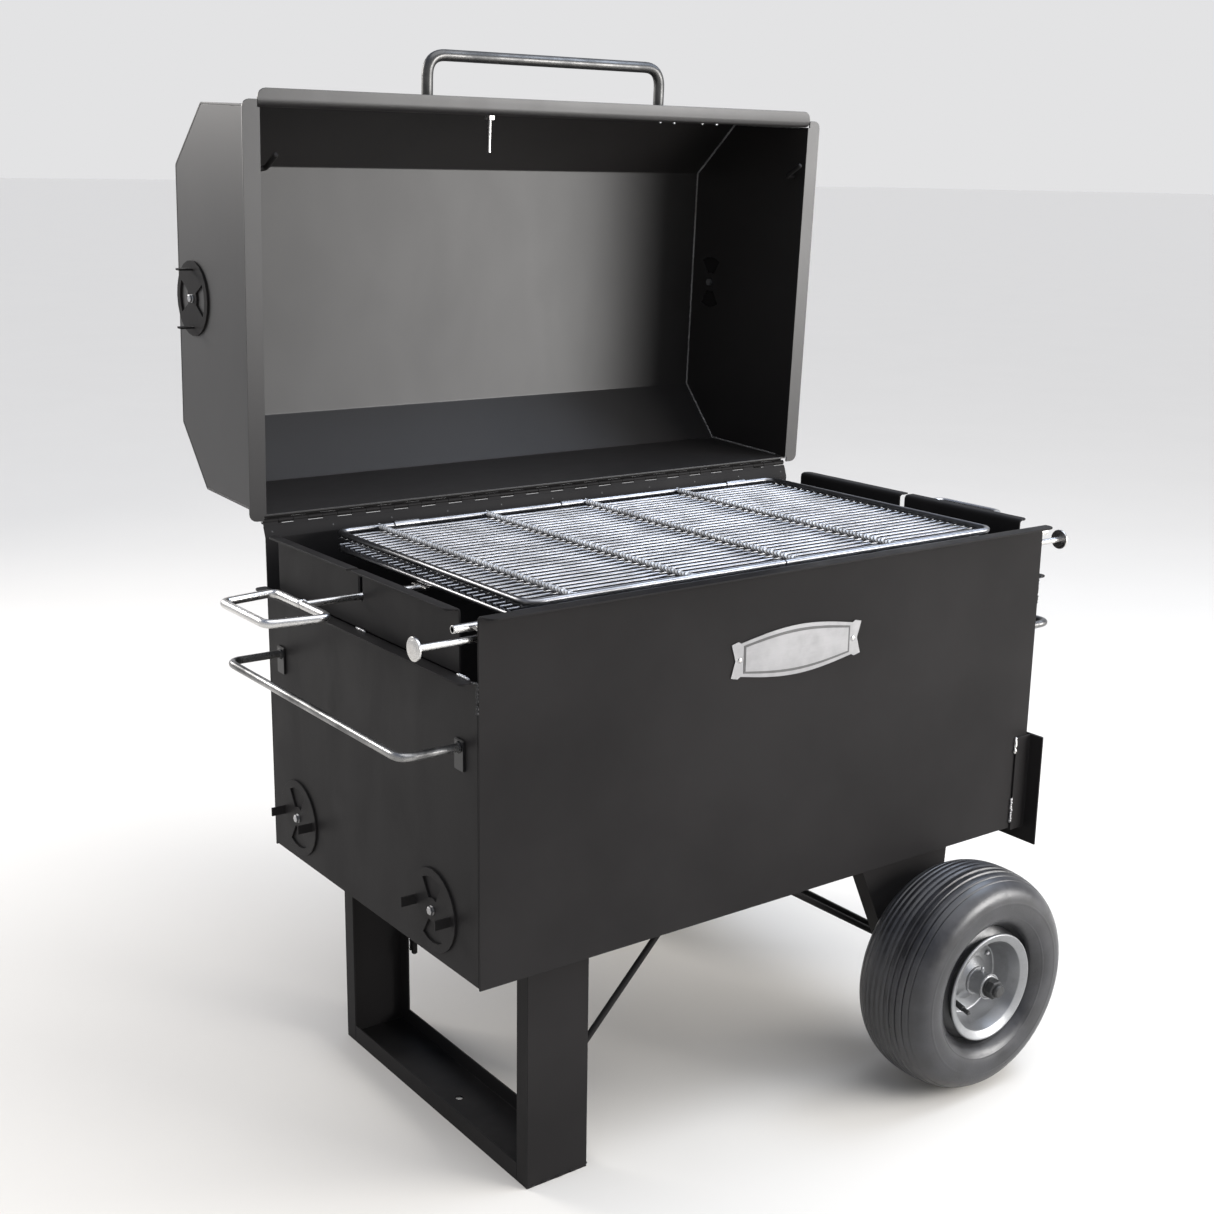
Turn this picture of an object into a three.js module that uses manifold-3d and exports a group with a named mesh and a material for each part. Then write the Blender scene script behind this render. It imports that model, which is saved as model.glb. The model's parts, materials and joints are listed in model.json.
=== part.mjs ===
// Charcoal barbecue pit on a leg frame and two tyres, with a flip-over grate and a hinged hood.
// Millimetres, +Z up. +X runs along the body, +Y to the back. The hood stands open, as at rest.
import * as THREE from 'three';
import { mergeVertices } from 'three/addons/utils/BufferGeometryUtils.js';
import Module from 'manifold-3d';

const wasm = await Module();
wasm.setup();

// Driving dimensions. Heights are first counted from the underside of the firebox.
const LENGTH = 1070;
const DEPTH = 620;
const RIM = 516;
const GROUND = -355;
const SHEET = 3;
const GAP = 0.3;
const LIP = 26;

const SHELF = 428;              // top edge of the end walls, where their lips turn out
const PANEL_LIP = 18;
const SHAFT_Y = 312;
const SHAFT_Z = 475.5;
const SHAFT_R = 5;

const HINGE_Y = 630;
const HINGE_Z = 527;
const HOOD_OPEN = THREE.MathUtils.degToRad(87.5);
const HOOD_BASE = RIM + 0.8;
const HOOD_FRONT = 14;
const HOOD_BACK = 621;
const HOOD_TOP = 827;
const HOOD_LIP = 24;
const HOOD_END_X = 0.6;         // outer face of the hood's left end plate
const KNUCKLE_R = 4.5;
const KNUCKLE_PAIRS = 21;
const PIN_R = 2;
const PIN_BORE = 2.9;           // corner radius of the square bore that clears the pin

const GRATE = { x0: 98, x1: 1002, front: 38, back: 586, low: 484, high: 508, rail: 4.75, rod: 3.1 };
const GRATE_RODS = 31;
const GRATE_BARS = 4;
const BAR_STEP = 200;
const STRAP_WIDTH = 44;
const ROD_STEP = 6;             // rod centres stand this far from the frame's centre plane

const LATCH = { y: 17, z: 481, r: 4.75, left: -83, right: 1134, disc: 16 };
const VENT_R = 60;
const DRAWER_TOP = 160;

const LEG = { x: 101, width: 104, front: 38, back: 584, flange: 28 };
const WHEEL = { x: 846, y: -88, z: GROUND + 181, radius: 181, width: 146, rim: 89 };
const WHEEL_SIDES = 22;
const AXLE_R = 9.5;

const PAINT = { color: 0x2b2a29, roughness: 0.55, metalness: 0.2 };
const STAINLESS = { color: 0xb9babb, roughness: 0.32, metalness: 1 };
const ZINC = { color: 0x8f9396, roughness: 0.45, metalness: 0.9 };
const RIM_PAINT = { color: 0x9b9d9e, roughness: 0.4, metalness: 0.6 };
const TYRE = { color: 0x2a2a2c, roughness: 0.85, metalness: 0 };

// --- solids ---------------------------------------------------------------

function solid(geometry) {
  const plain = geometry.index ? geometry.toNonIndexed() : geometry.clone();
  plain.deleteAttribute('normal');
  plain.deleteAttribute('uv');
  const merged = mergeVertices(plain, 1e-3);
  const mesh = new wasm.Mesh({
    numProp: 3,
    vertProperties: new Float32Array(merged.attributes.position.array),
    triVerts: new Uint32Array(merged.index.array),
  });
  return new wasm.Manifold(mesh);
}

function geometryOf(manifold) {
  const mesh = manifold.getMesh();
  const geometry = new THREE.BufferGeometry();
  geometry.setAttribute('position', new THREE.BufferAttribute(new Float32Array(mesh.vertProperties), 3));
  geometry.setIndex(new THREE.BufferAttribute(new Uint32Array(mesh.triVerts), 1));
  return geometry;
}

function join(...pieces) {
  return geometryOf(pieces.map(solid).reduce((sum, piece) => sum.add(piece)));
}

function cut(base, ...tools) {
  return geometryOf(tools.map(solid).reduce((sum, tool) => sum.subtract(tool), solid(base)));
}

function common(a, b) {
  return geometryOf(solid(a).intersect(solid(b)));
}

function box(x0, x1, y0, y1, z0, z1) {
  const geometry = new THREE.BoxGeometry(x1 - x0, y1 - y0, z1 - z0);
  return geometry.translate((x0 + x1) / 2, (y0 + y1) / 2, (z0 + z1) / 2);
}

// Straight rod between two points.
function rod(from, to, radius, sides = 10) {
  const start = new THREE.Vector3(...from);
  const axis = new THREE.Vector3(...to).sub(start);
  const geometry = new THREE.CylinderGeometry(radius, radius, axis.length(), sides);
  const up = new THREE.Vector3(0, 1, 0);
  const turn = new THREE.Quaternion().setFromUnitVectors(up, axis.clone().normalize());
  return geometry.applyQuaternion(turn).translate(...start.addScaledVector(axis, 0.5).toArray());
}

// Corner points replaced by short arcs. Works on 2-D and 3-D points, open or closed.
function filleted(points, radius, steps = 3, closed = false) {
  const list = points.map((p) => new THREE.Vector3(p[0], p[1], p[2] ?? 0));
  const out = [];
  list.forEach((corner, i) => {
    const isEnd = !closed && (i === 0 || i === list.length - 1);
    if (isEnd) {
      out.push(corner);
      return;
    }
    const before = list[(i + list.length - 1) % list.length];
    const after = list[(i + 1) % list.length];
    const a = before.clone().sub(corner).normalize();
    const b = after.clone().sub(corner).normalize();
    const half = a.angleTo(b) / 2;
    const reach = radius / Math.tan(half);
    const start = corner.clone().addScaledVector(a, reach);
    const end = corner.clone().addScaledVector(b, reach);
    const centre = corner.clone().addScaledVector(a.clone().add(b).normalize(), radius / Math.sin(half));
    const from = start.sub(centre);
    const to = end.sub(centre);
    const sweep = from.angleTo(to);
    const axis = from.clone().cross(to).normalize();
    for (let k = 0; k <= steps; k += 1) {
      out.push(from.clone().applyAxisAngle(axis, (sweep * k) / steps).add(centre));
    }
  });
  return out;
}

// A path that visits its points one by one, so that a swept section turns where they are.
class PointPath extends THREE.Curve {
  constructor(points) {
    super();
    this.points = points;
  }

  getPoint(t, target = new THREE.Vector3()) {
    const last = this.points.length - 1;
    const i = Math.min(Math.floor(t * last + 1e-9), last - 1);
    return target.lerpVectors(this.points[i], this.points[i + 1], t * last - i);
  }

  getPointAt(u, target) {
    return this.getPoint(u, target);
  }

  getTangentAt(u, target = new THREE.Vector3()) {
    const i = Math.round(u * (this.points.length - 1));
    const before = this.points[Math.max(i - 1, 0)];
    const after = this.points[Math.min(i + 1, this.points.length - 1)];
    return target.subVectors(after, before).normalize();
  }
}

function bentRod(points, radius, bend, sides = 8, steps = 3) {
  const path = new PointPath(filleted(points, bend, steps));
  const section = new THREE.Shape();
  section.absarc(0, 0, radius, 0, Math.PI * 2);
  return new THREE.ExtrudeGeometry(section, {
    steps: path.points.length - 1,
    curveSegments: sides / 2,
    extrudePath: path,
  });
}

function outline(points, holes = []) {
  const flat = (p) => new THREE.Vector2(p.x ?? p[0], p.y ?? p[1]);
  const shape = new THREE.Shape(points.map(flat));
  shape.holes = holes.map((hole) => new THREE.Path(hole.map(flat)));
  return shape;
}

// Flat outlines pushed along an axis: YZ along X, XZ along Y, XY along Z.
function alongX(shape, x0, x1) {
  const geometry = new THREE.ExtrudeGeometry(shape, { depth: x1 - x0, bevelEnabled: false });
  const turn = new THREE.Matrix4().set(0, 0, 1, x0, 1, 0, 0, 0, 0, 1, 0, 0, 0, 0, 0, 1);
  return geometry.applyMatrix4(turn);
}

function alongY(shape, y0, y1) {
  const geometry = new THREE.ExtrudeGeometry(shape, { depth: y1 - y0, bevelEnabled: false });
  return geometry.rotateX(Math.PI / 2).translate(0, y1, 0);
}

function alongZ(shape, z0, z1) {
  const geometry = new THREE.ExtrudeGeometry(shape, { depth: z1 - z0, bevelEnabled: false });
  return geometry.translate(0, 0, z0);
}

function ring(cx, cy, radius, sides) {
  return Array.from({ length: sides }, (_, i) => {
    const angle = (i / sides) * Math.PI * 2;
    return [cx + radius * Math.cos(angle), cy + radius * Math.sin(angle)];
  });
}

// Outline of a folded sheet: the folds are points of one face, and the sheet's body lies to their left.
function folded(points, thickness = SHEET, bend = 5) {
  const face = filleted(points, bend, 3);
  const normals = face.map((p, i) => {
    const before = face[Math.max(i - 1, 0)];
    const after = face[Math.min(i + 1, face.length - 1)];
    const along = after.clone().sub(before).normalize();
    return new THREE.Vector3(-along.y, along.x, 0);
  });
  const other = face.map((p, i) => p.clone().addScaledVector(normals[i], thickness)).reverse();
  return outline([...face, ...other]);
}

// Rectangle in plan with round corners.
function roundedPlan(x0, x1, y0, y1, radius) {
  const corners = [[x0, y0], [x1, y0], [x1, y1], [x0, y1]];
  return outline(filleted(corners, radius, 4, true));
}

function revolveY(profile, segments) {
  const points = profile.map((p) => new THREE.Vector2(p[0], p[1]));
  return new THREE.LatheGeometry([...points, points[0].clone()], segments);
}

function named(name, geometry, finish) {
  const mesh = new THREE.Mesh(geometry, new THREE.MeshStandardMaterial(finish));
  mesh.name = name;
  return mesh;
}

// Mirror through the middle of the body's length, keeping the faces turned outwards.
function mirroredX(geometry) {
  return flipped(geometry.clone().scale(-1, 1, 1).translate(LENGTH, 0, 0));
}

function mirroredY(geometry) {
  return flipped(geometry.clone().scale(1, -1, 1).translate(0, DEPTH, 0));
}

function flipped(geometry) {
  const plain = geometry.index ? geometry.toNonIndexed() : geometry;
  const position = plain.attributes.position;
  for (let i = 0; i < position.count; i += 3) {
    const [ax, ay, az] = [position.getX(i), position.getY(i), position.getZ(i)];
    position.setXYZ(i, position.getX(i + 1), position.getY(i + 1), position.getZ(i + 1));
    position.setXYZ(i + 1, ax, ay, az);
  }
  plain.deleteAttribute('normal');
  return plain;
}

// --- firebox --------------------------------------------------------------

function frontWall() {
  const profile = folded([[-LIP, RIM - SHEET], [0, RIM - SHEET], [0, 0]]);
  return common(
    alongX(profile, 0, LENGTH),
    alongZ(roundedPlan(0, LENGTH, -LIP, LIP, 14), -1, RIM + 1),
  );
}

// The back wall leans back at its top, where the hinge leaf lies on it.
const LEAN = { low: [DEPTH - SHEET, 503], high: [HINGE_Y - 6.5, 520.5] };

function backWall() {
  const profile = folded([[LEAN.low[0], 0], LEAN.low, LEAN.high], -SHEET, 6);
  return alongX(profile, 0, LENGTH);
}

function floorPan() {
  const inset = SHEET + GAP;
  return box(inset, LENGTH - SHEET, inset, DEPTH - inset, 0, SHEET);
}

// Butterfly openings under the solid lobes of a vent disc.
function lobeOpening(cy, cz, middle) {
  const spread = THREE.MathUtils.degToRad(32);
  const arc = (radius, from, to, steps) => Array.from({ length: steps + 1 }, (_, i) => {
    const angle = from + ((to - from) * i) / steps;
    return [cy + radius * Math.cos(angle), cz + radius * Math.sin(angle)];
  });
  return [
    ...arc(VENT_R * 0.8, middle - spread, middle + spread, 4),
    ...arc(VENT_R * 0.3, middle + spread, middle - spread, 2),
  ];
}

const BODY_VENTS = { front: [118, 74], rear: [529, 74] };
const HOOD_VENT = [316, 768];
const BOLT_HOLE = 4.6;

function endWallLeft() {
  const profile = folded([[-LIP + 2, SHELF - SHEET], [0, SHELF - SHEET], [0, SHEET + GAP]]);
  const wall = alongY(profile, SHEET + GAP, DEPTH - SHEET - GAP);
  const holes = Object.values(BODY_VENTS).flatMap(([y, z]) => [
    alongX(outline(lobeOpening(y, z, 0)), -5, 10),
    alongX(outline(lobeOpening(y, z, Math.PI)), -5, 10),
    alongX(outline(ring(y, z, BOLT_HOLE, 8)), -5, 10),
  ]);
  const plan = roundedPlan(-LIP + 2, LIP, SHEET + GAP, DEPTH - SHEET - GAP, 10);
  return cut(common(wall, alongZ(plan, -1, RIM)), ...holes);
}

function endWallRight() {
  const foot = DRAWER_TOP + 6;
  const profile = folded([[-LIP + 2, SHELF - SHEET], [0, SHELF - SHEET], [0, foot]]);
  const wall = alongY(profile, SHEET + GAP, DEPTH - SHEET - GAP);
  const plan = roundedPlan(-LIP + 2, LIP, SHEET + GAP, DEPTH - SHEET - GAP, 10);
  return mirroredX(common(wall, alongZ(plan, -1, RIM)));
}

function rimPanel() {
  const profile = folded([[-PANEL_LIP, RIM - SHEET], [0, RIM - SHEET], [0, SHELF + GAP]], SHEET, 4);
  const panel = alongY(profile, 47, 574);
  const plan = roundedPlan(-PANEL_LIP, PANEL_LIP, 47, 574, 10);
  const slot = box(-LIP, LIP, SHAFT_Y - 6, SHAFT_Y + 6, SHAFT_Z - SHAFT_R - 0.6, RIM + 1);
  return cut(common(panel, alongZ(plan, 0, RIM + 1)), slot);
}

function guideTube() {
  const profile = outline(ring(LATCH.y, 498, 5.6, 10), [ring(LATCH.y, 498, 4, 8)]);
  const tube = alongX(profile, -28, 48);
  const web = box(0, 48, SHEET + GAP, LATCH.y - 4.6, 495, 501);
  return join(tube, web);
}

function pushHandle() {
  const reach = -89;
  const height = 330;
  const bar = bentRod(
    [[-2, 45, height], [reach, 45, height], [reach, 573, height], [-2, 573, height]], 5.5, 22,
  );
  const plates = [45, 573].map((y) => box(-SHEET - GAP, -GAP, y - 15, y + 15, height - 37, height + 12));
  return join(bar, ...plates);
}

// Angle frame welded round the drawer mouth, open at the top.
function drawerFrame() {
  const lap = 28;
  const outer = -LIP - SHEET;
  const x1 = LENGTH + 8;
  const strip = (y0, y1, z0, z1, x0, x2) => box(x0, x2, y0, y1, z0, z1);
  const side = join(
    strip(-SHEET - GAP, -GAP, -SHEET - GAP, DRAWER_TOP, LENGTH - lap, x1),
    strip(outer, -GAP, outer, DRAWER_TOP, x1 - SHEET, x1),
  );
  const bottom = join(
    strip(-SHEET - GAP, DEPTH + SHEET + GAP, -SHEET - GAP, -GAP, LENGTH - lap, x1),
    strip(outer, DEPTH - outer, outer, -GAP, x1 - SHEET, x1),
  );
  return join(side, mirroredY(side), bottom);
}

// --- leg frame, axle and wheels --------------------------------------------

function channel(length) {
  const w = LEG.width / 2;
  const f = LEG.flange;
  const profile = [[-w, 0], [w, 0], [w, f], [w - SHEET, f], [w - SHEET, SHEET], [-w + SHEET, SHEET],
    [-w + SHEET, f], [-w, f]];
  return alongZ(outline(profile), 0, length);
}

function legUpright(front) {
  const height = -GROUND - SHEET - 2 * GAP;
  const piece = channel(height).translate(LEG.x + LEG.width / 2, 0, GROUND + SHEET + GAP);
  if (front) return piece.translate(0, LEG.front, 0);
  return piece.rotateZ(Math.PI).translate(2 * LEG.x + LEG.width, LEG.back, 0);
}

function legFoot() {
  const floor = box(LEG.x, LEG.x + LEG.width, LEG.front, LEG.back, GROUND, GROUND + SHEET);
  const inset = LEG.flange + GAP;
  const flange = (x) => box(x, x + SHEET, LEG.front + inset, LEG.back - inset, GROUND, GROUND + LEG.flange);
  const hole = rod([148, 302, GROUND - 2], [148, 302, GROUND + 6], 6, 8);
  return cut(join(floor, flange(LEG.x), flange(LEG.x + LEG.width - SHEET)), hole);
}

function legBrace() {
  const y = 72;
  const x = LEG.x + LEG.width + 5.5;
  const points = [[x, y, -222], [x, y, -188], [x + 176, y, -5.4], [x + 216, y, -5.4]];
  return bentRod(points, 5, 14, 6, 2);
}

function axleBracket() {
  const top = [712, 905];
  const bottom = [806, 892];
  const low = WHEEL.z - 34;
  const web = alongY(outline([[bottom[0], low], [bottom[1], low], [top[1], -GAP], [top[0], -GAP]]), 12, 16);
  const hole = rod([WHEEL.x, 5, WHEEL.z], [WHEEL.x, 60, WHEEL.z], AXLE_R + GAP, 12);
  const slant = alongY(outline([[bottom[0], low], [bottom[0] + 4.2, low], [top[0] + 4.2, -GAP],
    [top[0], -GAP]]), 12, 42);
  const upright = outline([[bottom[1] - 3, low], [bottom[1], low], [top[1], -GAP], [top[1] - 3, -GAP]]);
  const edge = alongY(upright, 12, 42);
  return cut(join(web, slant, edge), hole);
}

function axleBrace() {
  const y = 72;
  const foot = [[WHEEL.x - 24, y, WHEEL.z + 10], [WHEEL.x - 13, y, WHEEL.z + 1]];
  return bentRod([[530, y, -5.4], [570, y, -5.4], ...foot], 5, 12, 6, 2);
}

function axle() {
  const reach = WHEEL.y - WHEEL.width / 2 + 4;
  return rod([WHEEL.x, reach, WHEEL.z], [WHEEL.x, DEPTH - reach, WHEEL.z], AXLE_R, 12);
}

function axleNut() {
  const inner = WHEEL.y - 60.6;
  const bore = AXLE_R + GAP;
  const profile = [[bore, -17], [bore - 3, -17], [bore - 3, -22], [12, -22], [16, -14], [16, 0], [bore, 0]];
  return revolveY(profile, 12).translate(WHEEL.x, inner, WHEEL.z);
}

function tyre() {
  const w = WHEEL.width / 2;
  const R = WHEEL.radius;
  const r = WHEEL.rim;
  const outer = [[r - 11, -w + 24], [r + 4, -w + 13], [r + 22, -w + 1], [r + 44, -w + 1], [R - 16, -w + 11],
    [R - 3, -w + 36], [R, 0], [R - 3, w - 36], [R - 16, w - 11], [r + 44, w - 1], [r + 22, w - 1],
    [r + 4, w - 13], [r - 11, w - 24]];
  const inner = [[r + 4, w - 30], [R - 28, w - 26], [R - 12, 0], [R - 28, -w + 26], [r + 4, -w + 30]];
  return revolveY([...outer, ...inner], WHEEL_SIDES).translate(WHEEL.x, WHEEL.y, WHEEL.z);
}

function wheelRim() {
  const r = WHEEL.rim;
  const profile = [[AXLE_R + 0.6, -60], [19, -60], [19, -34], [36, -18], [60, -14], [70, -46],
    [r - 15, -62], [r - 1, -63.5], [r, -60], [r - 13, -50.5], [r - 13, 50.5], [r, 60], [r - 1, 63.5],
    [r - 15, 62], [70, 46], [61, -10], [19, -22], [19, 60], [AXLE_R + 0.6, 60]];
  return revolveY(profile, WHEEL_SIDES).translate(WHEEL.x, WHEEL.y, WHEEL.z);
}

// --- grates -----------------------------------------------------------------

function grate(frameZ, side) {
  const { x0, x1, front, back, rail, rod: thin } = GRATE;
  const middle = (x0 + x1) / 2;
  const y0 = front + rail;
  const y1 = back - rail;
  const half = (x, sign) => bentRod(
    [[middle - sign * 3, y0, frameZ], [x, y0, frameZ], [x, y1, frameZ], [middle - sign * 3, y1, frameZ]],
    rail, 22, 6, 3,
  );
  const pieces = [half(x0 + rail, -1), half(x1 - rail, 1)];
  const rodZ = frameZ + side * ROD_STEP;
  const barZ = frameZ - side;
  for (let i = 0; i < GRATE_RODS; i += 1) {
    const y = y0 + ((y1 - y0) * (i + 0.8)) / (GRATE_RODS + 0.6);
    pieces.push(rod([x0 + 1.5, y, rodZ], [x1 - 1.5, y, rodZ], thin, 4));
  }
  for (let i = 0; i < GRATE_BARS; i += 1) {
    const x = x0 + 80 + i * BAR_STEP;
    pieces.push(rod([x, front + 2, barZ], [x, back - 2, barZ], rail * 0.8, 4));
  }
  return join(...pieces);
}

// Flat strap welded behind the lower frame, its eye curled round the upper grate's back rail.
function grateStrap(x) {
  const y = GRATE.back - GRATE.rail;
  const low = GRATE.low - 7;
  const clear = GRATE.rail + 0.6;
  const eye = Array.from({ length: 9 }, (_, i) => {
    const angle = (i / 8) * Math.PI;
    return [y + clear * Math.cos(angle), GRATE.high + clear * Math.sin(angle)];
  });
  const profile = folded([[y + clear, low], ...eye], -1.5, 0.4);
  return alongX(profile, x - STRAP_WIDTH / 2, x + STRAP_WIDTH / 2);
}

// Loop handle on a shaft that ends in a pad under the lower grate, whose edge lies at x = edge.
function flipHandle(edge) {
  const outer = -176;
  const inner = -90;
  const z = SHAFT_Z;
  const loop = bentRod([[inner, SHAFT_Y - 2, z], [inner, SHAFT_Y - 84, z], [outer, SHAFT_Y - 70, z],
    [outer, SHAFT_Y + 70, z], [inner, SHAFT_Y + 84, z], [inner, SHAFT_Y + 2, z]], SHAFT_R, 14);
  const shaft = rod([inner - 3, SHAFT_Y, z], [edge - 0.5, SHAFT_Y, z], SHAFT_R, 8);
  const low = GRATE.low - GRATE.rail - GAP;
  const pad = box(edge - 6, edge + 14, SHAFT_Y - 20, SHAFT_Y + 20, low - 3.4, low);
  return join(loop, shaft, pad);
}

function latchRod() {
  const { y, z, r, left, right, disc } = LATCH;
  return join(
    rod([left, y, z], [right, y, z], r, 10),
    rod([left - 3, y, z], [left + 2, y, z], disc, 18),
    rod([right - 2, y, z], [right + 3, y, z], disc, 18),
  );
}

// --- drawer -------------------------------------------------------------------

function drawerPan() {
  const x1 = LENGTH + 8 + GAP;
  const y0 = SHEET + 5;
  const y1 = DEPTH - SHEET - 5;
  const z0 = SHEET + 2;
  const shell = cut(
    box(16, x1 + 1, y0, y1, z0, DRAWER_TOP - 18),
    box(16 + SHEET, x1 - 2, y0 + SHEET, y1 - SHEET, z0 + SHEET, DRAWER_TOP),
  );
  const face = box(x1, x1 + SHEET, -LIP, DEPTH + LIP, -LIP, DRAWER_TOP);
  return join(shell, face);
}

function drawerHandle() {
  const x = LENGTH + 8 + 2 * GAP + SHEET;
  const z = 86;
  return bentRod([[x, 230, z], [x + 46, 230, z], [x + 46, 390, z], [x, 390, z]], 5.5, 14);
}

// --- hood, drawn shut ------------------------------------------------------------

const HOOD_SECTION = [[HOOD_FRONT, HOOD_BASE], [HOOD_FRONT, 722], [HOOD_FRONT + 97, HOOD_TOP],
  [525, HOOD_TOP], [HOOD_BACK, 735], [HOOD_BACK, HOOD_BASE + 3]];

function hoodShell() {
  const lipTop = HOOD_BASE + SHEET;
  const face = [[HOOD_FRONT - HOOD_LIP, lipTop], [HOOD_FRONT, lipTop], ...HOOD_SECTION.slice(1)];
  const shell = alongX(folded(face, -SHEET, 7), GAP, LENGTH - GAP);
  const plan = roundedPlan(GAP, LENGTH - GAP, HOOD_FRONT - HOOD_LIP, DEPTH + 60, 14);
  return common(shell, alongZ(plan, 0, HOOD_TOP + 1));
}

function hoodEnd() {
  const inset = SHEET + GAP;
  const inside = filleted([[HOOD_FRONT + inset, HOOD_BASE], [HOOD_FRONT + inset, 720.4],
    [HOOD_FRONT + 98.5, HOOD_TOP - inset], [523.4, HOOD_TOP - inset],
    [HOOD_BACK - inset, 733.4], [HOOD_BACK - inset, HOOD_BASE]], 6, 3);
  const holes = [0, Math.PI].map((angle) => lobeOpening(...HOOD_VENT, angle));
  const face = outline(inside, [...holes, ring(...HOOD_VENT, BOLT_HOLE, 8)]);
  const plate = alongX(face, HOOD_END_X, HOOD_END_X + SHEET);
  const lipPlan = roundedPlan(-HOOD_LIP, HOOD_LIP, HOOD_FRONT - 8, HOOD_BACK + 6, 12);
  const lip = alongZ(lipPlan, HOOD_BASE, HOOD_BASE + SHEET);
  const trimFront = box(-GAP, 40, -LIP, HOOD_FRONT + inset, 0, RIM + 40);
  const trimBack = box(-GAP, 40, HOOD_BACK - inset, DEPTH + 40, 0, RIM + 40);
  const trimInside = box(HOOD_END_X + SHEET, 60, -LIP, DEPTH + 40, 0, RIM + 40);
  return cut(join(plate, lip), trimFront, trimBack, trimInside);
}

function hoodHandle() {
  const z = 566;
  const y = HOOD_FRONT - GAP;
  return bentRod([[308, y, z], [308, y - 84, z], [762, y - 84, z], [762, y, z]], 9, 30, 10, 4);
}

function hoodHook() {
  const x = SHEET + HOOD_END_X + GAP;
  return bentRod([[x, 104, 545], [x + 20, 104, 545], [x + 20, 82, 508]], 4, 8, 6);
}

function hoodPlate() {
  return box(812, 932, HOOD_FRONT - 1.8, HOOD_FRONT - GAP, 588, 648);
}

function thermometer() {
  const x = 470;
  const z = 640;
  const stem = rod([x, HOOD_FRONT - 2, z], [x, 78, z], 3, 8);
  const nut = rod([x, HOOD_FRONT + SHEET + GAP, z], [x, HOOD_FRONT + SHEET + 8, z], 9, 6);
  const dial = rod([x, HOOD_FRONT - 16, z], [x, HOOD_FRONT - GAP, z], 32, 20);
  return { body: join(stem, nut, dial), hole: rod([x, 0, z], [x, 40, z], 3 + GAP, 8) };
}

function ventDisc() {
  const windows = [0.5, 1.5].map((turn) => lobeOpening(0, 0, turn * Math.PI));
  const disc = alongX(outline(ring(0, 0, VENT_R, 24), [...windows, ring(0, 0, BOLT_HOLE, 8)]), -SHEET, 0);
  const tabY = VENT_R * 0.74;
  const tab = box(-26, -SHEET + 0.5, tabY, tabY + SHEET, -7, 7);
  const otherTab = tab.clone().rotateX(Math.PI);
  return join(disc, tab, otherTab);
}

function ventBolt() {
  const profile = [[0, -9], [4, -9], [7, -8], [7, -SHEET - GAP], [4, -SHEET - GAP], [4, SHEET + GAP],
    [7, SHEET + GAP], [7, SHEET + 5], [0, SHEET + 5]];
  const points = profile.map((p) => new THREE.Vector2(p[0], p[1]));
  return new THREE.LatheGeometry(points, 8).rotateZ(-Math.PI / 2);
}

// --- hinge ------------------------------------------------------------------------

// Knuckles of one leaf: every second one of the row, bored for the pin.
function knuckles(first) {
  const pitch = LENGTH / (2 * KNUCKLE_PAIRS);
  const section = outline(ring(HINGE_Y, HINGE_Z, KNUCKLE_R, 6), [ring(HINGE_Y, HINGE_Z, PIN_BORE, 4)]);
  return Array.from({ length: KNUCKLE_PAIRS }, (_, i) => {
    const x = (2 * i + first) * pitch;
    return alongX(section, x + 0.4, x + pitch - 0.4);
  });
}

function leafWithKnuckles(profile, first) {
  const leaf = alongX(profile, 0.4, LENGTH - 0.4);
  const pitch = LENGTH / (2 * KNUCKLE_PAIRS);
  const reach = KNUCKLE_R + 0.8;
  const clearance = Array.from({ length: KNUCKLE_PAIRS }, (_, i) => {
    const x = (2 * i + 1 - first) * pitch;
    const [y, z] = [HINGE_Y, HINGE_Z];
    return box(x - 0.4, x + pitch + 0.4, y - reach, y + reach, z - reach, z + reach);
  });
  const bore = alongX(outline(ring(HINGE_Y, HINGE_Z, PIN_BORE, 4)), -1, LENGTH + 1);
  return cut(join(leaf, ...knuckles(first)), ...clearance, bore);
}

function bodyLeaf() {
  const [low, high] = [LEAN.low, LEAN.high];
  const along = new THREE.Vector2(high[0] - low[0], high[1] - low[1]).normalize();
  const off = GAP + 0.1;
  const start = [low[0] - along.y * off + along.x * 3, low[1] + along.x * off + along.y * 3];
  const bend = [start[0] + along.x * 17, start[1] + along.y * 17];
  return leafWithKnuckles(folded([start, bend, [HINGE_Y - 2.6, HINGE_Z - 2.2]], 1.6, 1), 0);
}

function hoodLeaf() {
  const y = HOOD_BACK + GAP;
  return leafWithKnuckles(folded([[y, 556], [y, 533], [HINGE_Y, HINGE_Z + 2.2]], 1.6, 2), 1);
}

function hingePin() {
  return rod([0, HINGE_Y, HINGE_Z], [LENGTH, HINGE_Y, HINGE_Z], PIN_R, 6);
}

function lidStop() {
  const y = DEPTH + GAP;
  const post = box(24, 49, y, y + 5, 400, 496);
  const arm = box(24, 49, y, 668, 491, 496);
  const rest = box(24, 49, 663, 668, 491, 536.6);
  return join(post, arm, rest);
}

function namePlate() {
  const plate = outline(filleted([[417, 352], [669, 352], [669, 426], [417, 426]], 16, 3, true));
  return alongY(plate, -1.8, -GAP);
}

// --- assembly -----------------------------------------------------------------------

const body = new THREE.Group();
const hood = new THREE.Group();
const hoodFrame = new THREE.Group();

function addPair(group, name, geometry, finish) {
  group.add(named(`${name}_left`, geometry, finish), named(`${name}_right`, mirroredX(geometry), finish));
}

function addFrontAndRear(group, name, geometry, finish) {
  group.add(named(`${name}_front`, geometry, finish), named(`${name}_rear`, mirroredY(geometry), finish));
}

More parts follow.
